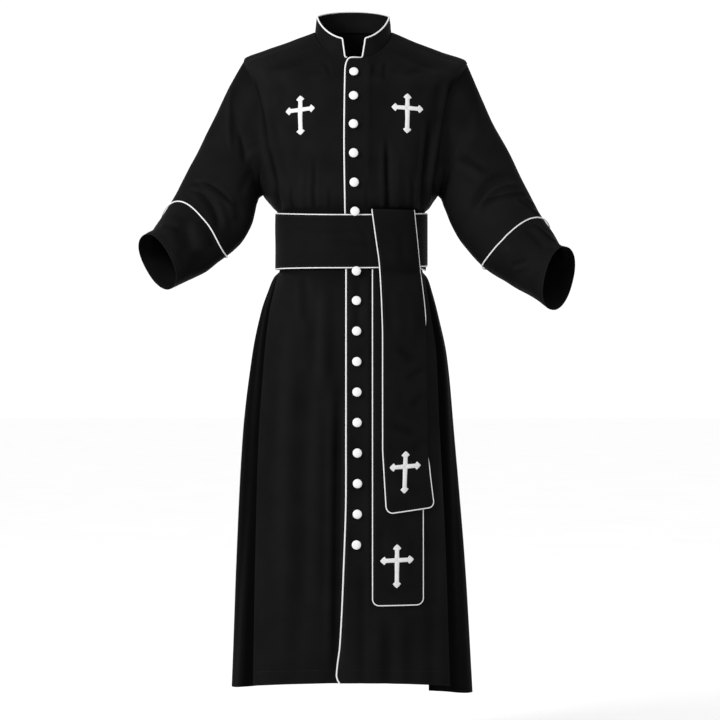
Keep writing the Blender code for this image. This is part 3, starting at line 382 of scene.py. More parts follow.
BODY = SmoothTable([
    Section(0, -65, 12, 81, 0.5, 75, 72, 0),
    Section(-22, -82, -10, 136, 4.0, 82, 82, 0),
    Section(-39, -98, -30, 183, 1.5, 89, 91, 0),
    Section(-60, -112, -46, 233, 4.5, 96, 100, 0),
    Section(-95, -140, -74, 222, 2.0, 106, 107, 0),
    Section(-160, -195, -130, 214, -1.0, 121, 117, 1),
    Section(-250, -265, -232, 208, -3.0, 132, 122, 2),
    Section(-305, -312, -294, 197, -4.0, 131, 120, 2),
    Section(-340, -343, -334, 182, -6.0, 127, 118, 2),
    Section(-364, -365, -357, 164, -4.5, 120, 113, 3),
    Section(-377, -377, -368, 153, -4.2, 114, 106, 3),
    Section(-391, -387, -380, 150.2, -3.9, 112, 104, 3),
    Section(-437, -437, -437, 150.2, -3.9, 112, 104, 3),
    Section(-500, -500, -496, 150.2, -3.9, 112, 104, 3),
    Section(-512, -515, -511, 160, -4.0, 114.5, 110, 3.5),
    Section(-545, -547, -545, 172.5, -5.0, 121, 122, 4),
    Section(-582, -583, -582, 184, -6.0, 128, 133, 5),
    Section(-676, -676, -676, 204, -4.7, 140, 152, 6),
    Section(-834, -834, -834, 220.5, -7.0, 152, 168, 7),
    Section(-1107, -1105, -1108, 238.5, -5.0, 170, 186, 8),
    Section(-1373, -1342, -1378, 252.5, -3.5, 186, 202, 10),
])


class EdgeAngle(NamedTuple):
    """Angle from the side of the body to the edge of the front and back panels."""

    level: float
    angle: float


ARMHOLE = SmoothTable([
    EdgeAngle(-60, 0),
    EdgeAngle(-95, 19),
    EdgeAngle(-160, 28),
    EdgeAngle(-250, 26),
    EdgeAngle(-305, 17),
    EdgeAngle(-340, 0),
])
FOLD_EDGE = SmoothTable([
    EdgeAngle(-437, 0),
    EdgeAngle(-486, 12),
    EdgeAngle(-545, 25),
    EdgeAngle(-620, 30),
    EdgeAngle(-770, 34),
    EdgeAngle(-1107, 37.5),
    EdgeAngle(-1373, 40),
])


class Fold(NamedTuple):
    """A long soft fold that hangs down the body."""

    turn_top: float
    turn_hem: float
    top: float
    bottom: float
    proud: float
    width: float


FOLDS = [
    Fold(-15, -19, -520, -1373, 4.5, 7),
    Fold(-33, -38, -560, -1373, 5.0, 9),
    Fold(-7.5, -10, -700, -1373, -4.0, 5),
    Fold(47, 50, -760, -1373, 4.5, 8),
    Fold(152, 148, -520, -1373, 6.0, 10),
    Fold(176, 178, -540, -1373, 7.5, 11),
    Fold(-158, -153, -510, -1373, 6.0, 10),
    Fold(-146, -143, -640, -1373, -5.0, 8),
    Fold(164, 163, -600, -1373, -5.0, 8),
    Fold(41, 28, -95, -345, 3.0, 7),
    Fold(-43, -35, -110, -345, 2.4, 7),
    Fold(138, 146, -110, -360, 4.0, 8),
    Fold(-140, -148, -120, -360, 4.0, 8),
]


class Crease(NamedTuple):
    """A soft ridge (height above 0) or trough between two places, seen square on from the front or back."""

    x_start: float
    z_start: float
    x_end: float
    z_end: float
    height: float
    width: float
    bow: float = 0.0
    facing: Facing = Facing.FRONT

    def rise(self, x: Array, z: Array, toward_front: Array) -> Array:
        """How far it pushes the cloth out.

        Args:
            x: across the garment.
            z: height.
            toward_front: 1 at the middle of the front, -1 at the middle of the back.

        Returns:
            The rise in millimetres, nothing beyond its ends.
        """
        run_x, run_z = self.x_end - self.x_start, self.z_end - self.z_start
        length = math.hypot(run_x, run_z)
        along = ((x - self.x_start) * run_x + (z - self.z_start) * run_z) / length ** 2
        across = ((x - self.x_start) * run_z - (z - self.z_start) * run_x) / length
        inside = np.clip(along, 0, 1)
        across = across - self.bow * 4 * inside * (1 - inside)
        ends = ease(along / 0.28) * ease((1 - along) / 0.28)
        core = np.exp(-((across / self.width) ** 2))
        banks = np.exp(-(((np.abs(across) - 1.9 * self.width) / self.width) ** 2))
        seen = ease(0.4 - self.facing.value * toward_front / 0.5)
        return self.height * (core - 0.32 * banks) * ends * seen


CHEST_CREASES = [
    Crease(69, -220, 71, -450, -3.6, 5),
    Crease(88, -240, 90, -440, 1.3, 7),
    Crease(216, -72, 158, -378, -5.4, 7.5),
    Crease(159, -176, 139, -400, -3.6, 5.5),
    Crease(182, -170, 152, -390, 2.2, 6),
    Crease(122, -300, 118, -430, -1.5, 4),
    Crease(-79, -270, -80, -430, -1.7, 4.5),
    Crease(-104, -290, -108, -430, 0.9, 6),
    Crease(-210, -92, -176, -262, -2.6, 5.5, -4),
    Crease(-184, -225, -146, -410, -2.8, 6, -5),
    Crease(-126, -318, -122, -425, -1.2, 4),
    Crease(-47, -330, -49, -425, -0.9, 4),
    Crease(28, -300, 30, -425, -0.9, 4.5),
    Crease(66, -66, 63, -118, -1.3, 4),
    Crease(44, -72, 40, -104, -0.9, 4),
    Crease(-62, -72, -48, -100, -0.9, 4, -3),
    Crease(140, -82, 104, -104, -0.6, 7),
    Crease(-150, -180, -60, -196, 0.7, 16),
    Crease(150, -176, 84, -200, 0.7, 15),
]
SKIRT_CREASES = [
    Crease(-64, -520, -66, -760, 2.2, 12),
    Crease(-138, -500, -142, -1420, 1.6, 16),
    Crease(-29, -690, -36, -1380, -4.6, 9),
    Crease(-98, -620, -104, -1300, -1.3, 17),
    Crease(66, -1186, 68, -1480, -1.9, 13),
    Crease(112, -1196, 114, -1440, -0.9, 12),
    Crease(168, -760, 172, -1480, 1.6, 10),
    Crease(-60, -1120, -70, -1480, 1.2, 14),
    Crease(20, -1040, 16, -1470, -1.2, 12),
    Crease(-104, -506, -98, -620, -1.3, 8),
    Crease(10, -510, 8, -640, -1.0, 7),
]
BACK_CREASES = [
    Crease(60, -140, 50, -384, -3.2, 8, 4, Facing.BACK),
    Crease(-66, -150, -52, -384, -2.9, 8, -4, Facing.BACK),
    Crease(2, -210, 0, -380, 1.8, 12, 0, Facing.BACK),
    Crease(150, -120, 112, -372, -3.2, 8, 8, Facing.BACK),
    Crease(-146, -128, -108, -376, -3.4, 8, -8, Facing.BACK),
    Crease(110, -324, 92, -388, -1.9, 5, 0, Facing.BACK),
    Crease(-22, -330, -24, -388, -1.6, 5, 0, Facing.BACK),
    Crease(-90, -320, -84, -388, -2.0, 5, 0, Facing.BACK),
    Crease(96, -60, 66, -118, -1.4, 9, 0, Facing.BACK),
    Crease(-96, -64, -70, -124, -1.4, 9, 0, Facing.BACK),
    Crease(26, -520, 30, -1480, -3.4, 9, 0, Facing.BACK),
    Crease(-34, -540, -40, -1480, -3.8, 10, 0, Facing.BACK),
    Crease(-6, -700, -4, -1480, 2.6, 12, 0, Facing.BACK),
    Crease(116, -620, 132, -1480, -3.0, 9, 0, Facing.BACK),
    Crease(-118, -580, -128, -1480, -2.7, 9, 0, Facing.BACK),
]


@dataclass
class WornForm:
    """The smooth surface of the worn body, with its folds, creases and unevenness."""

    creases: list[Crease] = field(default_factory=lambda: CHEST_CREASES + SKIRT_CREASES + BACK_CREASES)
    ripples: SoftNoise = field(default_factory=lambda: SoftNoise(11, 12, 150))
    crinkles: SoftNoise = field(default_factory=lambda: SoftNoise(23, 6, 38))
    hang: SoftNoise = field(default_factory=lambda: SoftNoise(29, 15, 520))
    crease_scale: float = 1.7
    ripple_height: float = 1.6
    crinkle_height: float = 0.5
    hang_height: float = 1.5
    skirt_calm: float = 0.86
    sash_top: float = -374
    sash_bottom: float = -506

    def smooth(self, turn: Array, level: Array) -> Array:
        """A point of the body without folds or creases.

        Args:
            turn: angle round the body.
            level: height of the section at its sides.

        Returns:
            The point.
        """
        turn, level = np.broadcast_arrays(np.asarray(turn, float), np.asarray(level, float))
        sizes = [BODY.at(level, name) for name in ("half_width", "front", "back", "centre_x", "centre_y")]
        x, y = oval_xy(turn, *sizes)
        along = np.cos(np.radians(turn))
        end_z = np.where(along > 0, BODY.at(level, "front_z"), BODY.at(level, "back_z"))
        z = level + (end_z - level) * np.abs(along) ** FALL
        lean = SHOULDER_LEAN * ease((level - ARMPIT) / (TIP - ARMPIT)) * ease((NECK - level) / 20)
        return point_array(x, y, z - lean * np.sin(np.radians(turn)))

    def normal(self, turn: Array, level: Array) -> Array:
        """The outward normal of the smooth body.

        Args:
            turn: angle round the body.
            level: height of the section at its sides.

        Returns:
            A vector of length 1.
        """
        level = np.clip(level, HEM + 1, NECK - 1)
        across = self.smooth(turn + 1.0, level) - self.smooth(turn - 1.0, level)
        up = self.smooth(turn, level + 1.0) - self.smooth(turn, level - 1.0)
        return unit(np.cross(across, up))

    def fold_height(self, turn: Array, level: Array) -> Array:
        """How far the long folds push the cloth out.

        Args:
            turn: angle round the body.
            level: height of the section at its sides.

        Returns:
            The height.
        """
        height = np.zeros(np.broadcast(turn, level).shape)
        for fold in FOLDS:
            down = (fold.top - level) / (fold.top - fold.bottom)
            middle = fold.turn_top + (fold.turn_hem - fold.turn_top) * down
            across = (turn - middle + 180) % 360 - 180
            fades = 1.0 if fold.bottom == HEM else ease((1 - down) * 3)
            within = (level <= fold.top) & (level >= fold.bottom)
            height += within * fold.proud * ease(down * 2.2) * fades * np.exp(-((across / fold.width) ** 2))
        return height

    def fine_height(self, turn: Array, level: Array, smooth: Array) -> Array:
        """How far the creases and the unevenness push the cloth out, held down under the sash.

        Args:
            turn: angle round the body.
            level: height of the section at its sides.
            smooth: the smooth body's point there.

        Returns:
            The height.
        """
        x, z = smooth[..., 0], smooth[..., 2]
        toward_front = np.cos(np.radians(turn))
        below = ease((WAIST - level) / 60)
        total = self.ripple_height * self.ripples.at(turn, level)
        total = total + self.crinkle_height * self.crinkles.at(turn, level)
        total = total * (1 - self.skirt_calm * below) * ease((NECK - level) / 25)
        total = total + self.hang_height * below * self.hang.at(turn, level)
        for crease in self.creases:
            total = total + self.crease_scale * crease.rise(x, z, toward_front)
        bound = ease((self.sash_top + 8 - z) / 14) * ease((z - self.sash_bottom + 8) / 14)
        total = total * (1 - 0.85 * bound)
        under_tails = ease((x - 28) / 10) * ease((176 - x) / 10) * (toward_front > 0)
        under_tails = under_tails * ease((-470 - z) / 20) * ease((z + 1200) / 20)
        return np.where(total > 0, total * (1 - 0.8 * under_tails), total)

    def point(self, turn: Array, level: Array, lift: Array = 0.0) -> Array:
        """A point of the worn body, moved out by lift.

        Args:
            turn: angle round the body.
            level: height of the section at its sides.
            lift: how far out the point lies.

        Returns:
            The point.
        """
        smooth = self.smooth(turn, level)
        height = self.fold_height(turn, level) + self.fine_height(turn, level, smooth) + lift
        return smooth + self.normal(turn, level) * np.asarray(height)[..., None]

    def turn_at_x(self, x: Array, level: Array) -> Array:
        """The turn on the front of the body where a section has this x."""
        return front_turn((x - BODY.at(level, "centre_x")) / BODY.at(level, "half_width"))

    def front_level(self, z: Array) -> Array:
        """The level whose section passes through a height at the centre front."""
        levels = np.linspace(HEM, NECK, 4001)
        return np.interp(z, BODY.at(levels, "front_z"), levels)

    def level_at_place(self, x: Array, z: Array) -> Array:
        """The level whose section passes through a height at this x on the front.

        Args:
            x: across the garment.
            z: height.

        Returns:
            The level.
        """
        low = np.full(np.broadcast(x, z).shape, float(HEM))
        high = np.full(low.shape, float(TIP))
        for _ in range(26):
            level = (low + high) / 2
            below = self.smooth(self.turn_at_x(x, level), level)[..., 2] < z
            low = np.where(below, level, low)
            high = np.where(below, high, level)
        return (low + high) / 2

    def edge_angle(self, level: Array) -> Array:
        """Angle from the side of the body to the edge of the front and back panels."""
        armhole = np.where((level > ARMPIT) & (level < TIP), ARMHOLE.at(level, "angle"), 0.0)
        return np.where(level < WAIST, FOLD_EDGE.at(level, "angle"), armhole)

    def rows(self, count: int) -> Array:
        """Levels of a full-length panel's rows, hem first, evenly apart along the cloth.

        Args:
            count: number of even steps.

        Returns:
            The levels.
        """
        levels = np.linspace(HEM, NECK, 1400)
        reach = np.zeros(len(levels) - 1)
        for turn in (0, 30, 60, 90, 130, 180):
            run = np.diff(self.smooth(np.full(levels.shape, float(turn)), levels), axis=0)
            reach = np.maximum(reach, np.linalg.norm(run, axis=-1))
        length = np.concatenate([[0], np.cumsum(reach)])
        return np.interp(spread(count, length[-1]) * length[-1], length, levels)


# ---------------------------------------------------------------- finishes
class NodeSheet:
    """A material's nodes while they are being put together."""

    def __init__(self, name: str) -> None:
        """Start a material that holds one principled shader and the two kinds of coordinates.

        Args:
            name: the material's name.
        """
        self.material = bpy.data.materials.new(name)
        self.material.use_nodes = True
        self.tree = self.material.node_tree
        self.shader = self.tree.nodes["Principled BSDF"]
        where = self.add("ShaderNodeTexCoord")
        self.uv, self.place = where.outputs["UV"], where.outputs["Object"]

    def add(self, kind: str, inputs: dict | None = None, **settings: object) -> bpy.types.Node:
        """Add a node.

        Args:
            kind: the node's type name.
            inputs: socket names with a value, or with the output socket that feeds them.
            settings: the node's own options.

        Returns:
            The node.
        """
        node = self.tree.nodes.new(kind)
        for name, value in settings.items():
            setattr(node, name, value)
        for name, value in (inputs or {}).items():
            self.put(node.inputs[name], value)
        return node

    def put(self, socket: Socket, value: object) -> None:
        """Give an input a value or a link.

        Args:
            socket: the input.
            value: a number, a vector or the output that feeds it.
        """
        if isinstance(value, Socket):
            self.tree.links.new(value, socket)
        else:
            socket.default_value = value

    def finish(self, **sockets: object) -> Material:
        """Set the shader's own sockets.

        Args:
            sockets: values or outputs by the sockets' names, with _ for a space.

        Returns:
            The material.
        """
        for name, value in {"metallic": 0.0, **sockets}.items():
            self.put(self.shader.inputs[name.replace("_", " ").title().replace("Ior", "IOR")], value)
        return self.material

    def attribute(self, name: str) -> Socket:
        """A number that the mesh holds at each point."""
        return self.add("ShaderNodeAttribute", attribute_name=name).outputs["Fac"]

    def ribs(self, angle: float, pitch: float, wander: float = 0.0) -> Socket:
        """Fine parallel ribs on the UV map.

        Args:
            angle: direction across the ribs, in degrees.
            pitch: distance from rib to rib in millimetres.
            wander: how unevenly they run.

        Returns:
            A height from 0 to 1.
        """
        turned = self.add("ShaderNodeMapping", {"Vector": self.uv, "Rotation": (0, 0, math.radians(angle))})
        scale = 2 * math.pi / (20 * pitch * MM)
        inputs = {"Vector": turned.outputs[0], "Scale": scale, "Distortion": wander, "Detail": 1.0}
        return self.add("ShaderNodeTexWave", inputs).outputs["Fac"]

    def noise(self, where: Socket, size: float, detail: float = 2.0) -> Socket:
        """Cloudy unevenness whose clouds are about size millimetres across."""
        inputs = {"Vector": where, "Scale": 1 / (size * MM), "Detail": detail, "Roughness": 0.55}
        return self.add("ShaderNodeTexNoise", inputs).outputs["Fac"]

    def maths(self, operation: str, *values: object) -> Socket:
        """One sum.

        Args:
            operation: the sum's name.
            values: its numbers or sockets.

        Returns:
            The result.
        """
        node = self.add("ShaderNodeMath", operation=operation)
        for socket, value in zip(node.inputs, values):
            self.put(socket, value)
        return node.outputs[0]

    def mixed(self, *parts: tuple[Socket, float], base: float = 0.0) -> Socket:
        """A weighted sum.

        Args:
            parts: the sockets with their weights.
            base: what is there without them.

        Returns:
            The sum.
        """
        total = base
        for height, weight in parts:
            total = self.maths("ADD", total, self.maths("MULTIPLY", height, weight))
        return total

    def between(self, share: Socket, low: float, high: float) -> Socket:
        """A number from low to high as share goes from 0 to 1."""
        return self.add("ShaderNodeMapRange", {"Value": share, "To Min": low, "To Max": high}).outputs[0]

    def tones(self, share: Socket, colour: Sequence[float], dark: float, light: float) -> Socket:
        """A colour from its dark tone to its light one as share goes from 0.3 to 0.7.

        Args:
            share: which tone shows.
            colour: the colour.
            dark: the dark tone, as a share of the colour.
            light: the light tone.

        Returns:
            The colour.
        """
        ramp = self.add("ShaderNodeValToRGB", {"Fac": share})
        for stop, place, tone in zip(ramp.color_ramp.elements, (0.3, 0.7), (dark, light)):
            stop.position = place
            stop.color = (*(part * tone for part in colour), 1.0)
        return ramp.outputs[0]

    def bump(self, height: Socket, depth: float, strength: float, under: Socket | None = None) -> Socket:
        """A bumped normal.

        Args:
            height: the relief, from 0 to 1.
            depth: its real depth in millimetres.
            strength: how much of it is used.
            under: a coarser bump that it lies on.

        Returns:
            The normal.
        """
        inputs = {"Height": height, "Distance": depth * MM, "Strength": strength}
        if under is not None:
            inputs["Normal"] = under
        return self.add("ShaderNodeBump", inputs).outputs[0]


@dataclass(frozen=True)
class Twill:
    """Black wool-blend twill: fine steep ribs and nap, with painted shade that darkens its troughs, its deep folds and
    the gores and lightens its ridges, and lighter rims that are partly wear and partly a painted highlight.
    """

    name: str
    colour: tuple[float, float, float] = (0.0046, 0.0046, 0.0047)
    rib_pitch: float = 0.62
    rib_angle: float = 28
    roughness: tuple[float, float] = (0.46, 0.62)
    specular: float = 0.008
    drape: float = 0.9
    # painted shade: how much the crest darkens the tone in troughs and lightens it on ridges
    wear: float = 0.16
    # painted shade: how far the colour and the specular drop with the crest, down to deepest_shade
    fold_shade: float = 0.5
    deepest_shade: float = 0.42

    def make(self) -> Material:
        """Build the material on the piece's own UV map, which is in metres along the cloth.

        Returns:
            The material.
        """
        sheet = NodeSheet(self.name)
        ribs = sheet.ribs(self.rib_angle, self.rib_pitch, 0.6)
        yarns = sheet.ribs(self.rib_angle + 72, self.rib_pitch * 0.62)
        fibres = sheet.noise(sheet.uv, 0.35, 3.0)
        weave = sheet.mixed((ribs, 0.62), (yarns, 0.22), (fibres, 0.35))
        clouds = sheet.noise(sheet.place, 70, 3.0)
        # the rims come out lighter and glossier: partly wear, partly a painted highlight along pressed edges
        rubbed, crest = sheet.attribute("rubbed"), sheet.attribute("crest")
        # painted shade: the crest darkens the tone in troughs and lightens it on ridges
        depth = sheet.mixed((clouds, 0.3), (fibres, 0.4), (rubbed, 0.12), (crest, self.wear), base=0.15)
        # painted shade deep in folds and over the gores: the crest scales the colour and the specular down
        shade = sheet.mixed((crest, self.fold_shade), base=1 + self.fold_shade)
        shade = sheet.maths("MINIMUM", sheet.maths("MAXIMUM", shade, self.deepest_shade), 1.0)
        inputs = {"Vector": sheet.tones(depth, self.colour, 0.55, 1.45), "Scale": shade}
        colour = sheet.add("ShaderNodeVectorMath", inputs, operation="SCALE").outputs[0]
        dry = sheet.between(fibres, self.roughness[1], self.roughness[0])
        gloss = sheet.maths("SUBTRACT", dry, sheet.maths("MULTIPLY", rubbed, 0.06))
        soft = sheet.bump(sheet.noise(sheet.place, 26), self.drape, 0.5)
        return sheet.finish(base_color=colour, roughness=gloss, normal=sheet.bump(weave, 0.16, 0.45, soft),
                            specular_ior_level=sheet.maths("MULTIPLY", shade, self.specular))


@dataclass(frozen=True)
class SatinCord:
    """White bias-cut satin over a cord: slanting threads and a slightly uneven roll."""

    name: str
    colour: tuple[float, float, float] = (0.58, 0.58, 0.575)
    thread_pitch: float = 0.42
    roughness: tuple[float, float] = (0.38, 0.52)

    def make(self) -> Material:
        """Build the material on the cord's UV map, which runs round and along it in metres.

        Returns:
            The material.
        """
        sheet = NodeSheet(self.name)
        threads = sheet.ribs(45, self.thread_pitch, 0.5)
        roll = sheet.noise(sheet.place, 9)
        shade = sheet.mixed((threads, 0.3), (roll, 0.7))
        return sheet.finish(base_color=sheet.tones(shade, self.colour, 0.88, 1.06),
                            roughness=sheet.between(threads, self.roughness[1], self.roughness[0]),
                            normal=sheet.bump(threads, 0.1, 0.5, sheet.bump(roll, 0.5, 0.4)),
                            specular_ior_level=0.35, sheen_weight=0.15)


@dataclass(frozen=True)
class CoveredButton:
    """White satin drawn tight over a button shell."""

    name: str
    colour: tuple[float, float, float] = (0.58, 0.58, 0.575)
    thread_pitch: float = 0.34

    def make(self) -> Material:
        """Build the material on the button's UV map, which lies flat over its dome in metres.

        Returns:
            The material.
        """
        sheet = NodeSheet(self.name)
        warp = sheet.ribs(0, self.thread_pitch, 0.3)
        weft = sheet.ribs(90, self.thread_pitch * 1.7, 0.3)
        weave = sheet.mixed((warp, 0.7), (weft, 0.3))
        clouds = sheet.noise(sheet.place, 6)
        return sheet.finish(base_color=sheet.tones(clouds, self.colour, 0.92, 1.05),
                            roughness=sheet.between(weave, 0.46, 0.34),
                            normal=sheet.bump(weave, 0.07, 0.45, sheet.bump(clouds, 0.3, 0.3)),
                            specular_ior_level=0.45, sheen_weight=0.1)


@dataclass(frozen=True)
class SatinStitch:
    """Embroidery thread laid side by side across each arm of a cross."""

    name: str
    colour: tuple[float, float, float] = (0.58, 0.58, 0.58)
    thread_pitch: float = 0.5
    shadow: float = 0.8

    def make(self) -> Material:
        """Build the material on the UV map, whose second direction runs along each arm in metres.

        Returns:
            The material.
        """
        sheet = NodeSheet(self.name)
        threads = sheet.ribs(90, self.thread_pitch, 0.8)
        shade = sheet.mixed((threads, 0.55), (sheet.noise(sheet.place, 5), 0.45))
        relief = sheet.mixed((threads, 0.8), (sheet.noise(sheet.uv, 0.3), 0.2))
        return sheet.finish(base_color=sheet.tones(shade, self.colour, self.shadow, 1.06),
                            roughness=sheet.between(threads, 0.5, 0.32), normal=sheet.bump(relief, 0.22, 0.6),
                            specular_ior_level=0.4)


@dataclass(frozen=True)
class SewingThread:
    """Black twisted thread of the rows of stitches."""

    name: str
    colour: tuple[float, float, float] = (0.0065, 0.0065, 0.007)

    def make(self) -> Material:
        """Build the material on Object coordinates.

        Returns:
            The material.
        """
        sheet = NodeSheet(self.name)
        twist = sheet.noise(sheet.place, 0.5)
        return sheet.finish(base_color=sheet.tones(twist, self.colour, 0.7, 1.5),
                            roughness=sheet.between(twist, 0.6, 0.42), normal=sheet.bump(twist, 0.08, 0.5),
                            specular_ior_level=0.25)


@dataclass(frozen=True)
class PaleFloor:
    """A matt pale studio floor with a faint mottle."""

    name: str
    colour: tuple[float, float, float] = (0.93, 0.93, 0.93)

    def make(self) -> Material:
        """Build the material on Object coordinates.

        Returns:
            The material.
        """
        sheet = NodeSheet(self.name)
        mottle = sheet.noise(sheet.place, 400, 3.0)
        return sheet.finish(base_color=sheet.tones(mottle, self.colour, 0.985, 1.0), roughness=0.9,
                            specular_ior_level=0.1)


# ---------------------------------------------------------------- making meshes
def deselect_all() -> None:
    """Leave edit mode and deselect every object."""
    if bpy.context.mode != "OBJECT":
        bpy.ops.object.mode_set(mode="OBJECT")
    bpy.ops.object.select_all(action="DESELECT")


def choose(piece: Piece) -> None:
    """Select one object and make it the active one.

    Args:
        piece: the object.
    """
    deselect_all()
    piece.select_set(True)
    bpy.context.view_layer.objects.active = piece


def apply_modifier(piece: Piece, name: str, kind: str, **settings: object) -> None:
    """Add a modifier to a piece and apply it.

    Args:
        piece: the object.
        name: the modifier's name.
        kind: the modifier's type.
        settings: its options.
    """
    choose(piece)
    modifier = piece.modifiers.new(name, kind)
    for option, value in settings.items():
        setattr(modifier, option, value)
    bpy.ops.object.modifier_apply(modifier=name)


def merge_close(piece: Piece, distance: float = 0.01, recalculate: bool = False) -> None:
    """Join points that lie on each other.

    Args:
        piece: the object.
        distance: how close they are, in millimetres.
        recalculate: whether the faces are then turned outwards.
    """
    choose(piece)
    bpy.ops.object.mode_set(mode="EDIT")
    bpy.ops.mesh.select_all(action="SELECT")
    bpy.ops.mesh.remove_doubles(threshold=distance * MM)
    if recalculate:
        bpy.ops.mesh.normals_make_consistent(inside=False)
    bpy.ops.object.mode_set(mode="OBJECT")


def cloth_distances(points: Array) -> tuple[Array, Array]:
    """Distances along the cloth of every point of a grid, across from its first column and up from its foot.

    Args:
        points: the grid of points.

    Returns:
        Two grids of distances.
    """
    across = np.linalg.norm(np.diff(points, axis=1), axis=-1)
    across = np.concatenate([np.zeros((points.shape[0], 1)), np.cumsum(across, axis=1)], axis=1)
    up = np.linalg.norm(np.diff(points[:, points.shape[1] // 2], axis=0), axis=-1)
    up = np.concatenate([[0], np.cumsum(up)])
    return across, np.repeat(up[:, None], points.shape[1], axis=1)


def crests(points: Array, tube: bool) -> Array:
    """How proud of its surroundings each point of a grid stands, from -1 in a trough to 1 on a ridge.

    Args:
        points: the grid of points.
        tube: whether its first and last columns are the same.

    Returns:
        A number for each point.
    """
    smooth = points.copy()
    for _ in range(40):
        if tube:
            last = points.shape[1] - 1
            beside = smooth[1:-1, np.r_[-2, 0:last]] + smooth[1:-1, np.r_[1:last + 1, 1]]
            smooth[1:-1] = (beside + smooth[2:] + smooth[:-2]) / 4
        else:
            beside = smooth[1:-1, 2:] + smooth[1:-1, :-2]
            smooth[1:-1, 1:-1] = (beside + smooth[2:, 1:-1] + smooth[:-2, 1:-1]) / 4
    outward = unit(np.cross(np.gradient(points, axis=1), np.gradient(points, axis=0)))
    proud = np.sum((points - smooth) * outward, axis=-1)
    return np.tanh((proud - np.median(proud)) / 2.2)


def lay_grid(name: str, points: Array, tube: bool = False, painted_shade: float = 0.0) -> Piece:
    """A grid laid on points, with its UV map in metres along the cloth.

    Args:
        name: the piece's name.
        points: rows of points from the bottom up, each from the wearer's right to left as seen from outside,
            in millimetres.
        tube: whether its first and last columns are the same.
        painted_shade: painted shade over all of it, taken off its crest so that the finish darkens it as if it lay
            deep in a fold.

    Returns:
        The piece, a single open surface.
    """
    rows, columns = points.shape[:2]
    deselect_all()
    bpy.ops.mesh.primitive_grid_add(x_subdivisions=columns - 1, y_subdivisions=rows - 1, size=2.0)
    piece = bpy.context.active_object
    piece.name = name
    piece.data.name = name
    mesh = piece.data
    flat = np.empty(len(mesh.vertices) * 3)
    mesh.vertices.foreach_get("co", flat)
    flat = flat.reshape(-1, 3)
    column = np.rint((flat[:, 0] + 1) / 2 * (columns - 1)).astype(int)
    row = np.rint((flat[:, 1] + 1) / 2 * (rows - 1)).astype(int)
    mesh.vertices.foreach_set("co", (points[row, column] * MM).ravel())
    across, up = cloth_distances(points)
    middle = across[:, -1:] / 2
    to_rim = np.minimum(np.minimum(across, across[:, -1:] - across), np.minimum(up, up[-1:] - up))
    corner = np.empty(len(mesh.loops), dtype=np.int32)
    mesh.loops.foreach_get("vertex_index", corner)
    uv = np.stack([(across - middle)[row, column], up[row, column]], axis=-1) * MM
    mesh.uv_layers.active.data.foreach_set("uv", uv[corner].ravel())
    # lighter rims: partly wear, partly a painted highlight along pressed edges
    rubbed = mesh.attributes.new("rubbed", "FLOAT", "POINT")
    rubbed.data.foreach_set("value", np.exp(-((to_rim[row, column] / 2.5) ** 2)))
    crest = mesh.attributes.new("crest", "FLOAT", "POINT")
    # painted shade: a lower crest darkens the finish, so troughs and a sheet given an offset here look shaded
    crest.data.foreach_set("value", (crests(points, tube) - painted_shade)[row, column])
    mesh.update()
    return piece


@dataclass
class Tailor:
    """Makes pieces from laid points, dresses them and hangs them on the frame."""

    materials: dict[Slot, Material]
    thread: Material
    made: list[Piece] = field(default_factory=list)

    def dress(self, piece: Piece, slot: Slot, nodes: Sequence[str]) -> Piece:
        """Give a piece its material, body, slot and the frame nodes that it stands for.

        Args:
            piece: the object.
            slot: its material slot.
            nodes: frame nodes that it stands for.

        Returns:
            The same piece.
        """
        piece.data.materials.clear()
        piece.data.materials.append(self.materials[slot])
        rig.ride(piece, "root")
        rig.slot(piece, slot.value)
        if nodes:
            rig.replaces(piece, *nodes)
        self.made.append(piece)
        stands_for = ", ".join(nodes) or "itself"
        log.info("%s: %d faces, stands for %s", piece.name, len(piece.data.polygons), stands_for)
        return piece

    def sheet(self, name: str, points: Array, wall: float, slot: Slot, nodes: Sequence[str],
              tube: bool = False, painted_shade: float = 0.0) -> Piece:
        """A cloth shell that grows outwards from laid points, with rounded rims.

        Args:
            name: the piece's name.
            points: grid of points of its inner face, as lay_grid takes them.
            wall: its thickness.
            slot: its material slot.
            nodes: frame nodes that it stands for.
            tube: whether its two side edges are sewn together.
            painted_shade: painted shade over all of it, as lay_grid takes it.

        Returns:
            The finished piece.
        """
        piece = lay_grid(name, points, tube, painted_shade)
        if tube:
            merge_close(piece)
        apply_modifier(piece, "wall", "SOLIDIFY", thickness=wall * MM, offset=1.0)
        apply_modifier(piece, "rim", "BEVEL", width=wall * 0.3 * MM, segments=2, limit_method="ANGLE",
                       angle_limit=math.radians(55))
        choose(piece)
        bpy.ops.object.shade_smooth_by_angle(angle=math.radians(60))
        return self.dress(piece, slot, nodes)

    def cord(self, name: str, path: Array, radius: float, nodes: Sequence[str],
             closed: bool = False) -> Piece:
        """A round covered cord along a path, with rounded ends.

        Args:
            name: the piece's name.
            path: points that it runs through, in millimetres.
            radius: half its thickness.
            nodes: frame nodes that it stands for.
            closed: whether its ends meet.

        Returns:
            The finished piece.
        """
        line, radii = even_path(path, radius, closed)
        points = tube_rings(line, radii, closed)
        piece = lay_grid(name, points)
        merge_close(piece, recalculate=True)
        choose(piece)
        bpy.ops.object.shade_smooth()
        return self.dress(piece, Slot.PIPING, nodes)


CORD_SIDES = 12
CORD_STEP = 3.0


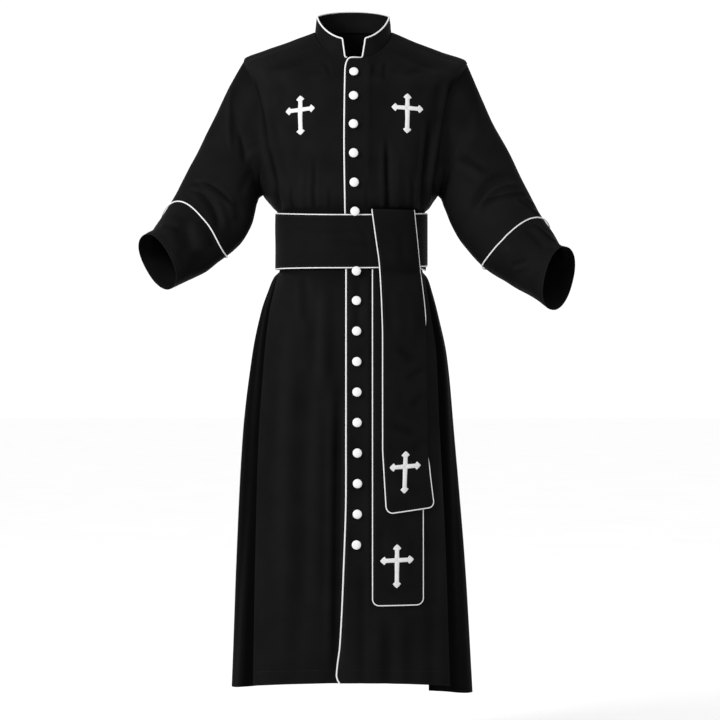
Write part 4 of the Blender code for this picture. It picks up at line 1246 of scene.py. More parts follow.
def even_path(path: Array, radius: float, closed: bool) -> tuple[Array, Array]:
    """Points evenly apart on the smooth curve through a path, and the cord's radius at each.

    Args:
        path: the points to run through.
        radius: the cord's radius away from its ends.
        closed: whether the curve closes on itself.

    Returns:
        The points and the radii, which shrink to nothing at an open end.
    """
    gaps = np.linalg.norm(np.diff(path, axis=0), axis=-1)
    path = path[np.concatenate([[True], gaps > 0.05])]
    if closed:
        through = np.vstack([path[-1:], path, path[:2]])
    else:
        through = np.vstack([2 * path[:1] - path[1:2], path, 2 * path[-1:] - path[-2:-1]])
    t = np.linspace(0, 1, 12, endpoint=False)[:, None]
    runs = []
    for a, b, c, d in zip(through, through[1:], through[2:], through[3:]):
        tangent_in, tangent_out = (c - a) / 2, (d - b) / 2
        reach = np.linalg.norm(c - b)
        tangent_in = unit(tangent_in) * min(np.linalg.norm(tangent_in), reach)
        tangent_out = unit(tangent_out) * min(np.linalg.norm(tangent_out), reach)
        runs.append((1 + 2 * t) * (1 - t) ** 2 * b + t * (1 - t) ** 2 * tangent_in
                    + t * t * (3 - 2 * t) * c - t * t * (1 - t) * tangent_out)
    dense = np.vstack(runs + [through[-2:-1]])
    length = np.concatenate([[0], np.cumsum(np.linalg.norm(np.diff(dense, axis=0), axis=-1))])
    count = max(int(length[-1] / CORD_STEP), 8)
    places = np.linspace(0, length[-1], count + 1)
    if not closed:
        tips = radius * (1 - np.cos(np.radians([0, 25, 50, 75])))
        inner = places[(places > radius * 1.2) & (places < length[-1] - radius * 1.2)]
        places = np.concatenate([tips, inner, length[-1] - tips[::-1]])
    line = np.stack([np.interp(places, length, dense[:, axis]) for axis in range(3)], axis=-1)
    if closed:
        return line, np.full(len(line), radius)
    from_end = np.minimum(places, length[-1] - places)
    inside = np.clip(1 - from_end / radius, 0, 1)
    return line, radius * np.sqrt(1 - inside ** 2)


def tube_rings(line: Array, radii: Array, closed: bool) -> Array:
    """Rings of points round a line, carried along it without twisting.

    Args:
        line: the middle of each ring.
        radii: each ring's radius.
        closed: whether the last ring is the first again.

    Returns:
        A grid of points: a row for each ring, its first and last points the same.
    """
    ahead = np.gradient(line, axis=0)
    if closed:
        ahead[0] = ahead[-1] = line[1] - line[-2]
    ahead = unit(ahead)
    side = unit(np.cross(ahead[0], [0.31, 0.2, 0.93]))
    sides = []
    for direction in ahead:
        side = side - direction * np.dot(side, direction)
        side = side / np.linalg.norm(side)
        sides.append(side)
    sides = np.array(sides)
    ups = np.cross(ahead, sides)
    twist = np.zeros(len(line))
    if closed:
        last = math.atan2(float(np.dot(sides[-1], ups[0])), float(np.dot(sides[-1], sides[0])))
        twist = -last * np.linspace(0, 1, len(line))
    angles = np.linspace(0, 2 * math.pi, CORD_SIDES + 1)[None, :] + twist[:, None]
    rings = np.cos(angles)[..., None] * sides[:, None] + np.sin(angles)[..., None] * ups[:, None]
    return line[:, None] + rings * radii[:, None, None]


# ---------------------------------------------------------------- fronts, back and gores
@dataclass
class BodyPanels:
    """The two fronts, the back and the two side gores."""

    form: WornForm
    tailor: Tailor
    front_columns: int = 74
    back_columns: int = 120
    gore_columns: int = 46
    row_count: int = 300
    right_width: float = 250
    left_width: float = 260
    back_width: float = 420
    overlap_lift: float = 2.2
    overlap_end: float = 28
    overlap_fade: float = 12
    underlap_x: float = 20
    seam_dip: float = 0.9
    gore_tuck: float = 7
    gore_underlap: float = 42
    gore_drop: float = 12
    gore_valley: float = 14
    # painted shade over the whole of each side gore, as if it lay in the shadow of its pleat
    gore_hollow: float = 2.5
    gore_pleat: float = 2.6

    def overlap(self, x: Array) -> Array:
        """The left front's lift over the right one, sinking back beyond the overlap."""
        return self.overlap_lift * (1 - ease((x - self.overlap_end) / self.overlap_fade))

    def edge_x(self, level: Array) -> Array:
        """x of the left front's free edge."""
        return FRONT_EDGE.at(BODY.at(level, "front_z"), "x")

    def dip(self, share: Array, width: float, level: Array) -> Array:
        """How far a sewn side edge sinks into its seam, above the waist."""
        return self.seam_dip * np.exp(-((share * width / 1.6) ** 2)) * (level > WAIST - 20)

    def left_point(self, x: Array, level: Array, lift: Array = 0.0) -> Array:
        """A point of the left front at this x, moved out by lift."""
        return self.form.point(self.form.turn_at_x(x, level), level, lift + self.overlap(x))

    def right_front(self, share: Array, level: Array) -> Array:
        """A point of the right front, from its side edge (0) to its hidden edge (1).

        Args:
            share: place across the panel, from 0 to 1.
            level: height of the section at its sides.

        Returns:
            The point.
        """
        visible = 0.9
        side = self.form.edge_angle(level) - 90
        edge = self.form.turn_at_x(self.edge_x(level), level)
        under = self.form.turn_at_x(np.full(level.shape, self.underlap_x), level)
        turn = np.where(share < visible, side + (edge - side) * share / visible,
                        edge + (under - edge) * (share - visible) / (1 - visible))
        return self.form.point(turn, level, -self.dip(share, self.right_width, level))

    def left_front(self, share: Array, level: Array) -> Array:
        """A point of the left front, from its free edge (0) to its side edge (1).

        Args:
            share: place across the panel, from 0 to 1.
            level: height of the section at its sides.

        Returns:
            The point.
        """
        lapped = 0.22
        flat_x = self.overlap_end + self.overlap_fade
        side = 90 - self.form.edge_angle(level)
        near_x = self.edge_x(level) + (flat_x - self.edge_x(level)) * np.minimum(share / lapped, 1)
        start = self.form.turn_at_x(np.full(level.shape, flat_x), level)
        turn = np.where(share < lapped, self.form.turn_at_x(near_x, level),
                        start + (side - start) * (share - lapped) / (1 - lapped))
        x = self.form.smooth(turn, level)[..., 0]
        return self.form.point(turn, level, self.overlap(x) - self.dip(1 - share, self.left_width, level))

    def back(self, share: Array, level: Array) -> Array:
        """A point of the back, from the wearer's left side (0) to the right (1).

        Args:
            share: place across the panel, from 0 to 1.
            level: height of the section at its sides.

        Returns:
            The point.
        """
        angle = self.form.edge_angle(level)
        turn = 90 + angle + (180 - 2 * angle) * share
        dip = self.dip(share, self.back_width, level) + self.dip(1 - share, self.back_width, level)
        return self.form.point(turn, level, -dip)

    def gore(self, side: Side, drop: float) -> Array:
        """The grid of a side gore, with its hidden underlaps at both edges.

        Args:
            side: which of the two gores.
            drop: how much lower its hem hangs than the fronts' hem.

        Returns:
            The grid, laid from the wearer's right to left as seen from outside.
        """
        levels = np.interp(spread(self.row_count * 2 // 3, WAIST - HEM), [0, 1], [HEM, WAIST])
        places = np.concatenate([np.linspace(-1.3, -1.02, 5), np.linspace(-1, 1, self.gore_columns),
                                 np.linspace(1.02, 1.3, 5)])
        place, level = np.meshgrid(places, levels)
        angle = np.maximum(self.form.edge_angle(level), 3)
        down = (WAIST - level) / (WAIST - HEM)
        below = WAIST - level
        share = np.clip(1 - np.abs(place), 0, 1)
        valley = self.gore_valley * np.sin(math.pi * np.sqrt(share)) * ease(below / 585)
        inset = self.gore_tuck * (1 - share * ease(below / 90)) + valley
        inset = inset * (1 + 0.06 * np.sin(level / 61 + place * 2))
        pleats = np.sin(math.pi * (2.6 * place + 0.3 * np.sin(level / 230 + side.value)))
        inset = inset - self.gore_pleat * pleats * ease(below / 260) * ease(share / 0.2)
        hidden = np.clip((np.abs(place) - 1) / 0.3, 0, 1)
        degree = math.radians(1) * BODY.at(level, "front")
        spread_out = (0.7 + 0.3 * down) * self.gore_underlap / degree
        turn = 90 + np.sign(place) * (angle * np.minimum(np.abs(place), 1) + spread_out * hidden)
        points = self.form.point(side.value * turn, level, -inset)
        points[..., 2] -= drop * ease(down * 1.1)
        return points if side is Side.LEFT else points[:, ::-1]

    def build(self) -> dict[str, Piece]:
        """Make the five panels.

        Returns:
            The panels by name.
        """
        levels = self.form.rows(self.row_count)

        def laid(place: Place, count: int, width: float) -> Array:
            """The grid of one full-length panel."""
            share, level = np.meshgrid(spread(count, width), levels)
            return place(share, level)

        suiting = Slot.SUITING
        panels = {}
        for node, place, columns, width in (
                ("front_right", self.right_front, self.front_columns, self.right_width),
                ("front_left", self.left_front, self.front_columns + 8, self.left_width),
                ("back", self.back, self.back_columns, self.back_width)):
            points = laid(place, columns, width)
            panels[node] = self.tailor.sheet(f"cloth_{node}", points, CLOTH, suiting, [node])
        # the side gores take painted shade all over
        for side, drop in ((Side.LEFT, self.gore_drop), (Side.RIGHT, 0.0)):
            node = f"gore_{side.name.lower()}"
            panels[node] = self.tailor.sheet(f"cloth_{node}", self.gore(side, drop), CLOTH, suiting, [node],
                                             painted_shade=self.gore_hollow)
        return panels


class EdgePoint(NamedTuple):
    """x of the front edge at a height."""

    z: float
    x: float


FRONT_EDGE = SmoothTable([
    EdgePoint(-66, -6),
    EdgePoint(-74, -12),
    EdgePoint(-90, -14.5),
    EdgePoint(-236, -16),
    EdgePoint(-360, -14.5),
    EdgePoint(-500, -12),
    EdgePoint(-947, -12),
    EdgePoint(-1119, -17),
    EdgePoint(-1263, -24),
    EdgePoint(-1328, -31),
    EdgePoint(-1346, -22),
])


# ---------------------------------------------------------------- collar and the front edge's cord
@dataclass
class Collar:
    """The stand collar, open at the front, and the one cord that edges it and the left front."""

    panels: BodyPanels
    tailor: Tailor
    half_width: float = 77
    front: float = 74
    back: float = 66
    side_z: float = 33
    front_fall: float = 58
    back_rise: float = 19
    depth_in: float = 3
    inset: float = DOUBLE_CLOTH + 0.4
    notch_left: tuple[float, float] = (20, 27)
    notch_right: tuple[float, float] = (-17, -23)
    cord_aside: float = EDGE_CORD + 0.1
    edge_lift: float = 1.6
    foot_heights: tuple[float, ...] = (-1342, -1340, -1335, -1328, -1318)
    edge_top: float = -76

    def __post_init__(self) -> None:
        """Read the neckline and scatter the collar's own unevenness."""
        self.neck = Section(*BODY.values[-1])
        self.wrinkles = SoftNoise(37, 12, 14)

    def point(self, turn: Array, v: Array, lift: Array = 0.0) -> Array:
        """A point of the collar, from its base inside the neckline (v 0) to its rim (v 1).

        Args:
            turn: angle round the body.
            v: share of its height.
            lift: how far out the point lies.

        Returns:
            The point.
        """
        neck = self.neck
        turn, v = np.broadcast_arrays(np.asarray(turn, float), np.asarray(v, float))
        base_x, base_y = oval_xy(turn, neck.half_width - self.inset, neck.front - self.inset,
                                 neck.back - self.inset, neck.centre_x, neck.centre_y)
        rim_x, rim_y = oval_xy(turn, self.half_width - self.inset, self.front - self.inset, self.back,
                               neck.centre_x, neck.centre_y)
        along = np.cos(np.radians(turn))
        fall = np.abs(along) ** FALL
        base_z = np.where(along > 0, neck.front_z, neck.back_z) * fall - self.depth_in
        rim_z = self.side_z + np.where(along > 0, -self.front_fall, self.back_rise) * fall
        base, rim = point_array(base_x, base_y, base_z), point_array(rim_x, rim_y, rim_z)
        outward = unit(point_array(base_x - neck.centre_x, base_y * 1.05, np.zeros(along.shape)))
        wrinkle = 0.5 * self.wrinkles.at(turn, v * 42) * np.sin(math.pi * np.clip(v, 0, 1))
        return base + (rim - base) * v[..., None] + outward * (wrinkle + lift)[..., None]

    def turn_at(self, x: Array, v: Array) -> Array:
        """The turn where the front of the collar has this x, at share v of its height."""
        half = self.neck.half_width + (self.half_width - self.neck.half_width) * v - self.inset
        return front_turn((x - self.neck.centre_x) / half)

    def ends(self, v: Array) -> tuple[Array, Array]:
        """Turns of the collar's left and right front ends at share v of its height.

        Args:
            v: share of its height.

        Returns:
            The turn of the left end and of the right end.
        """
        left = self.turn_at(self.notch_left[0] + (self.notch_left[1] - self.notch_left[0]) * v, v)
        right = self.turn_at(self.notch_right[0] + (self.notch_right[1] - self.notch_right[0]) * v, v)
        return left, right + 360

    def build(self) -> Piece:
        """Make the collar.

        Returns:
            The collar.
        """
        share, v = np.meshgrid(spread(150, 420), np.linspace(0, 1, 18))
        left, right = self.ends(v)
        points = self.point(left + (right - left) * share, v)
        return self.tailor.sheet("cloth_collar", points, DOUBLE_CLOTH, Slot.SUITING, ["collar"])

    def end_path(self, end: int, aside: float) -> list[Array]:
        """Points beside one front end, from its foot past its top corner.

        Args:
            end: 0 for the left end and 1 for the right.
            aside: how far out of the end they lie.

        Returns:
            The points, upwards.
        """
        away = np.array([-aside if end == 0 else aside, 0, 0])
        points = []
        for v in (0.2, 0.5, 0.8, 1.0):
            points.append(self.point(self.ends(np.array(v))[end], v, DOUBLE_CLOTH / 2) + away)
        points[-1] = points[-1] + [0, 0, aside]
        return points

    def build_cord(self) -> Piece:
        """The one cord up the front edge, across the notch, and round the collar's ends and rim.

        Returns:
            The cord.
        """
        aside, form = self.cord_aside, self.panels.form
        heights = np.concatenate([self.foot_heights, np.arange(-1300, self.edge_top, 9.0), [self.edge_top]])
        levels = form.front_level(heights)
        front = self.panels.left_point(FRONT_EDGE.at(heights, "x"), levels, self.edge_lift)
        front[:, 0] -= aside
        front[0] += [aside, 0, -aside]
        front[1] += [aside * 0.4, 0, -aside]
        front[2] += [aside * 0.1, 0, -aside * 0.4]
        left, right = self.end_path(0, aside), self.end_path(1, aside)
        notch_y = self.panels.left_point(0.0, float(NECK), self.edge_lift)[1]
        notch_z = self.neck.front_z + CLOTH + aside + 0.8
        notch = [
            np.array([-12.5, notch_y - 1.5, notch_z - 8]),
            np.array([-8.5, notch_y - 0.4, notch_z - 2]),
            np.array([-1, notch_y + 0.4, notch_z]),
            np.array([self.notch_left[0] - aside, left[0][1], notch_z]),
        ]
        start, end = self.ends(np.array(1.0))
        turns = np.linspace(start, end, 97)[1:-1]
        along = self.point(turns + 1, 1.0) - self.point(turns - 1, 1.0)
        outward = self.point(turns, 1.0, 1.0) - self.point(turns, 1.0)
        rim = self.point(turns, 1.0, DOUBLE_CLOTH / 2) + unit(np.cross(outward, along)) * aside
        under = [
            np.array([self.notch_right[0] + aside, right[0][1], notch_z + 0.4]),
            np.array([-11.5, right[0][1] + 0.6, notch_z + 1]),
        ]
        corners = rounded(notch[2:] + left + [rim[0]], 2.4, 4)
        far_corners = rounded([rim[-1]] + right[::-1] + under, 2.4, 4)
        path = np.vstack([front, notch[:2], corners, rim[1:-1], far_corners])
        return self.tailor.cord("cord_front_and_collar", path, EDGE_CORD, ["piping_edge"])


def rounded(points: Sequence[Array], radius: float, cuts: int) -> Array:
    """A path with each inner corner rounded off by a short curve.

    Args:
        points: the path's corners.
        radius: how far from a corner its curve starts.
        cuts: steps in each curve.

    Returns:
        The rounded path.
    """
    path = [points[0]]
    for before, corner, after in zip(points, points[1:], points[2:]):
        back, ahead = before - corner, after - corner
        reach = min(radius, np.linalg.norm(back) * 0.45, np.linalg.norm(ahead) * 0.45)
        start, end = corner + unit(back) * reach, corner + unit(ahead) * reach
        for t in np.linspace(0, 1, cuts + 1):
            path.append(start * (1 - t) ** 2 + corner * 2 * t * (1 - t) + end * t * t)
    return np.array(path + [points[-1]])


# ---------------------------------------------------------------- sleeves
class SleeveRing(NamedTuple):
    """One ring of a sleeve: its outer and inner sides, and how deep and how far forward it is."""

    ring: float
    outer_x: float
    outer_z: float
    inner_x: float
    inner_z: float
    y: float
    depth: float
    lead: float


RIGHT_RINGS = SmoothTable([
    SleeveRing(0, -229, -57, -189, -340, 0, 60, 0),
    SleeveRing(1, -260, -114, -197, -347, -5, 56, 4),
    SleeveRing(2, -303, -208, -201, -362, -20, 54, 8),
    SleeveRing(3, -339, -283, -208, -397, -40, 51, 12),
    SleeveRing(4, -363, -334, -229, -442, -62, 48, 16),
    SleeveRing(5, -381, -372, -261, -473, -95, 45, 21),
    SleeveRing(6, -395, -398, -303, -506, -122, 43, 24),
    SleeveRing(7, -409, -422, -336, -524, -148, 41, 27),
    SleeveRing(8, -426, -434, -367, -541, -170, 39, 30),
])
LEFT_RINGS = SmoothTable([
    SleeveRing(0, 239, -63, 179, -340, 0, 60, 0),
    SleeveRing(1, 262, -120, 184, -349, -5, 56, 4),
    SleeveRing(2, 291, -189, 190, -365, -20, 54, 10),
    SleeveRing(3, 323, -251, 204, -403, -40, 51, 18),
    SleeveRing(4, 355, -322, 230, -450, -62, 48, 26),
    SleeveRing(5, 390, -392, 266, -492, -95, 45, 35),
    SleeveRing(6, 406, -420, 312, -525, -122, 43, 36),
    SleeveRing(7, 424, -454, 361, -555, -148, 41, 34),
    SleeveRing(8, 435, -457, 402, -585, -170, 39, 32),
])
RIGHT_SLEEVE_CREASES = [
    Crease(-252, -104, -249, -262, 2.4, 5, 4),
    Crease(-236, -120, -234, -236, -1.6, 6, 3),
    Crease(-236, -208, -222, -282, -2.9, 6, -3),
    Crease(-226, -252, -200, -262, -1.6, 5),
    Crease(-320, -318, -250, -368, 3.6, 4.2, -4),
    Crease(-336, -318, -276, -326, -1.7, 4, -2),
    Crease(-322, -330, -270, -428, -4.2, 7.5, -14),
    Crease(-340, -336, -304, -340, -1.8, 3.5),
    Crease(-252, -352, -244, -404, 1.6, 8),
    Crease(-204, -290, -232, -352, -1.5, 7, 3),
    Crease(-342, -400, -318, -470, -4.6, 13),
    Crease(-392, -410, -352, -430, 1.6, 7),
    Crease(-300, -404, -290, -462, 1.2, 8),
    Crease(-228, -112, -262, -246, -2.0, 8, 5, Facing.BACK),
    Crease(-318, -300, -238, -352, -3.0, 8, -6, Facing.BACK),
    Crease(-340, -330, -252, -404, 2.6, 8, -8, Facing.BACK),
    Crease(-196, -270, -268, -346, -2.2, 7, 6, Facing.BACK),
    Crease(-360, -404, -352, -486, -1.9, 9, 0, Facing.BACK),
]
LEFT_SLEEVE_CREASES = [
    Crease(249, -392, 350, -316, -4.8, 7.5, -27),
    Crease(258, -368, 366, -340, 2.7, 4.6, -2),
    Crease(330, -352, 388, -394, 2.6, 4.5),
    Crease(352, -352, 378, -372, 1.8, 4),
    Crease(214, -256, 278, -308, 1.5, 6),
    Crease(210, -276, 262, -318, -1.4, 6),
    Crease(362, -406, 428, -462, 3.0, 4.6),
    Crease(352, -414, 400, -462, -1.6, 6),
    Crease(322, -500, 356, -488, -2.3, 5),
    Crease(300, -430, 316, -470, -1.2, 8),
    Crease(252, -120, 262, -220, 0.7, 9),
    Crease(232, -116, 258, -252, -2.0, 8, -5, Facing.BACK),
    Crease(312, -290, 234, -366, -3.1, 9, 7, Facing.BACK),
    Crease(338, -330, 248, -420, 2.4, 8, 8, Facing.BACK),
    Crease(196, -280, 262, -356, -2.1, 7, -5, Facing.BACK),
    Crease(382, -420, 372, -500, -1.9, 9, 0, Facing.BACK),
]


class CuffSeam(NamedTuple):
    """Where a cuff's seam lies in rings: its mean and its slants to the front, between and outwards."""

    ring: float
    lead: float
    twist: float
    flare: float


@dataclass
class Sleeve:
    """One sleeve with its deep cuff and the cord of the cuff's seam."""

    side: Side
    rings: SmoothTable
    creases: list[Crease]
    form: WornForm
    tailor: Tailor
    cuff_seam: CuffSeam
    columns: int = 104
    sleeve_rows: int = 120
    cuff_rows: int = 48
    crease_scale: float = 1.6
    ripple_height: float = 0.9
    head_tuck: float = 1.2
    head_lap: float = 0.9
    seam_lap: float = 0.008

    def __post_init__(self) -> None:
        """Scatter the sleeve's own unevenness."""
        self.last = float(self.rings.keys[-1])
        self.ripples = SoftNoise(53 + self.side.value, 30, 0.55)

    def armhole(self, around: Array) -> Array:
        """The armhole's seam. around is 0 at the shoulder tip, 90 at the front and 180 at the armpit.

        Args:
            around: angle round the sleeve, 0 at the outer side and 90 at the front.

        Returns:
            The seam's point.
        """
        around = around % 360
        share = np.minimum(around, 360 - around) / 180
        steps = np.array([-60, -77, -102, -140, -195, -250, -297, -324, -340], dtype=float)
        level = np.interp(share * (len(steps) - 1), np.arange(len(steps)), steps)
        angle = self.form.edge_angle(level) + self.head_lap * np.abs(np.sin(np.radians(around)))
        turn = np.where(around < 180, 90 - angle, 90 + angle)
        sewn = ease((TIP - level) / 34)
        point = self.form.point(self.side.value * turn, level, -0.6 - 0.8 * sewn)
        point[..., 0] += self.side.value * (0.3 - (0.3 + self.head_tuck) * sewn)
        return point

    def smooth(self, around: Array, index: Array, lift: Array) -> Array:
        """A point of the sleeve before its creases: index counts the table's rings.

        Args:
            around: angle round the sleeve, 0 at the outer side and 90 at the front.
            index: place along the sleeve, in rings.
            lift: how far out the point lies.

        Returns:
            The point.
        """
        side = self.side.value
        value = {name: self.rings.at(index, name) for name in SleeveRing._fields[1:]}
        outer = point_array(value["outer_x"], value["y"], value["outer_z"])
        inner = point_array(value["inner_x"], value["y"], value["inner_z"])
        centre = (outer + inner) / 2
        to_shoulder = unit(np.cross(outer - inner, [0.0, float(side), 0.0]))
        forward = to_shoulder * value["lead"][..., None]
        forward[..., 1] -= value["depth"]
        angle = np.radians(around)
        wide, deep = signed_power(np.cos(angle), OVAL), signed_power(np.sin(angle), OVAL)
        radius = (outer - centre) * wide[..., None] + forward * deep[..., None]
        return centre + radius + unit(radius) * np.asarray(lift)[..., None]

    def point(self, around: Array, index: Array, lift: Array = 0.0) -> Array:
        """A point of the worn sleeve, moved out by lift.

        Args:
            around: angle round the sleeve, 0 at the outer side and 90 at the front.
            index: place along the sleeve, in rings.
            lift: how far out the point lies.

        Returns:
            The point.
        """
        around, index = np.broadcast_arrays(np.asarray(around, float), np.asarray(index, float))
        bare = self.smooth(around, index, np.zeros(around.shape))
        toward_front = np.sin(np.radians(around))
        fade = ease(index / 0.5)
        height = self.ripple_height * self.ripples.at(around, index)
        for crease in self.creases:
            height = height + self.crease_scale * crease.rise(bare[..., 0], bare[..., 2], toward_front)
        calm = 1 - 0.6 * np.exp(-(((index - self.seam(around)) / 0.22) ** 2))
        calm = calm * (1 - 0.6 * ease((index - self.last + 0.8) / 0.8))
        point = self.smooth(around, index, height * fade * calm + lift)
        share = ease(0.5 * np.minimum(index, 1)) * 2
        head = self.armhole(around)
        return head + (point - head) * share[..., None]

    def seam(self, around: Array) -> Array:
        """Where the cuff's seam lies along the sleeve, in rings.

        Args:
            around: angle round the sleeve, 0 at the outer side and 90 at the front.

        Returns:
            The place along the sleeve.
        """
        angle, seam = np.radians(around), self.cuff_seam
        slant = seam.lead * np.sin(angle) + seam.twist * np.sin(2 * angle) + seam.flare * np.cos(angle)
        return seam.ring + slant

    def grid(self, rows: int, cuff: bool) -> Array:
        """The grid of the sleeve or of its cuff, the lower row first.

        Args:
            rows: steps along it.
            cuff: whether it is the cuff.

        Returns:
            The grid of points.
        """
        turns = np.linspace(0, 360, self.columns + 1) * self.side.value
        around, share = np.meshgrid(turns, np.linspace(0, 1, rows + 1))
        seam = self.seam(around)
        if cuff:
            return self.point(around, self.last + (seam - self.seam_lap - self.last) * share)
        return self.point(around, (seam + self.seam_lap) * (1 - share))

    def build(self) -> dict[str, Piece]:
        """Make the sleeve, the cuff and their cord.

        Returns:
            The pieces by their frame nodes.
        """
        name = self.side.name.lower()
        pieces = {}
        for part, rows in (("sleeve", self.sleeve_rows), ("cuff", self.cuff_rows)):
            node, points = f"{part}_{name}", self.grid(rows, part == "cuff")
            pieces[node] = self.tailor.sheet(f"cloth_{node}", points, CLOTH, Slot.SUITING, [node], tube=True)
        around = np.linspace(0, 360, 90, endpoint=False)
        path = self.point(around, self.seam(around), CLOTH + CUFF_CORD - 0.3)
        cord = self.tailor.cord(f"cord_cuff_{name}", path, CUFF_CORD, [f"piping_cuff_{name}"], closed=True)
        return {**pieces, f"cord_{name}": cord}


# ---------------------------------------------------------------- sash
class TailRow(NamedTuple):
    """x of a tail's two edges at a height, and how far its right edge is rolled behind."""

    z: float
    left: float
    right: float
    tucked: float


UPPER_TAIL = SmoothTable([
    TailRow(-377, 40, 125, 0),
    TailRow(-435, 48, 131, 0),
    TailRow(-496, 56, 137, 0),
    TailRow(-600, 61, 148, 0),
    TailRow(-640, 62, 149.5, 1),
    TailRow(-865, 62, 152, 1),
    TailRow(-905, 64, 155, 0),
    TailRow(-990, 69, 165, 0),
])
LOWER_TAIL = SmoothTable([
    TailRow(-468, 41.5, 128, 0),
    TailRow(-500, 41.5, 131, 0),
    TailRow(-620, 41.5, 140.5, 0),
    TailRow(-700, 41.5, 142, 0),
    TailRow(-1184, 41.5, 142, 0),
])


class WrapFoot(NamedTuple):
    """Height of the inner wrap's bottom edge at a turn."""

    turn: float
    z: float


INNER_WRAP = SmoothTable([
    WrapFoot(64, -495),
    WrapFoot(85, -498.5),
    WrapFoot(97, -496),
    WrapFoot(118, -484),
])
UPPER_TAIL_CREASES = [
    Crease(88, -656, 134, -694, -1.5, 9, 3),
    Crease(104, -734, 150, -700, -1.5, 8, -3),
    Crease(76, -812, 136, -838, -1.4, 9, 5),
    Crease(112, -786, 154, -748, -1.4, 8),
    Crease(118, -880, 152, -838, -1.1, 9),
    Crease(70, -540, 74, -640, -0.9, 8),
    Crease(96, -420, 100, -500, -0.9, 8),
    Crease(118, -540, 122, -660, 0.9, 9),
    Crease(88, -900, 140, -968, -0.8, 12, 5),
]
LOWER_TAIL_CREASES = [
    Crease(56, -1010, 60, -1130, -0.8, 8),
    Crease(120, -1040, 116, -1150, -0.8, 8),
    Crease(60, -1160, 128, -1146, -0.7, 8),
    Crease(74, -760, 76, -900, 0.7, 10),
]
BAND_CREASES = [
    Crease(-128, -418, 24, -424, -0.45, 7, 2),
    Crease(-60, -446, 46, -452, -0.4, 7, -2),
    Crease(4, -400, 40, -470, -0.6, 8, 3),
    Crease(-140, -468, -20, -474, -0.4, 7, 2),
    Crease(-120, -420, 110, -428, -0.7, 7, 2, Facing.BACK),
    Crease(-100, -462, 60, -456, -0.6, 7, -2, Facing.BACK),
]


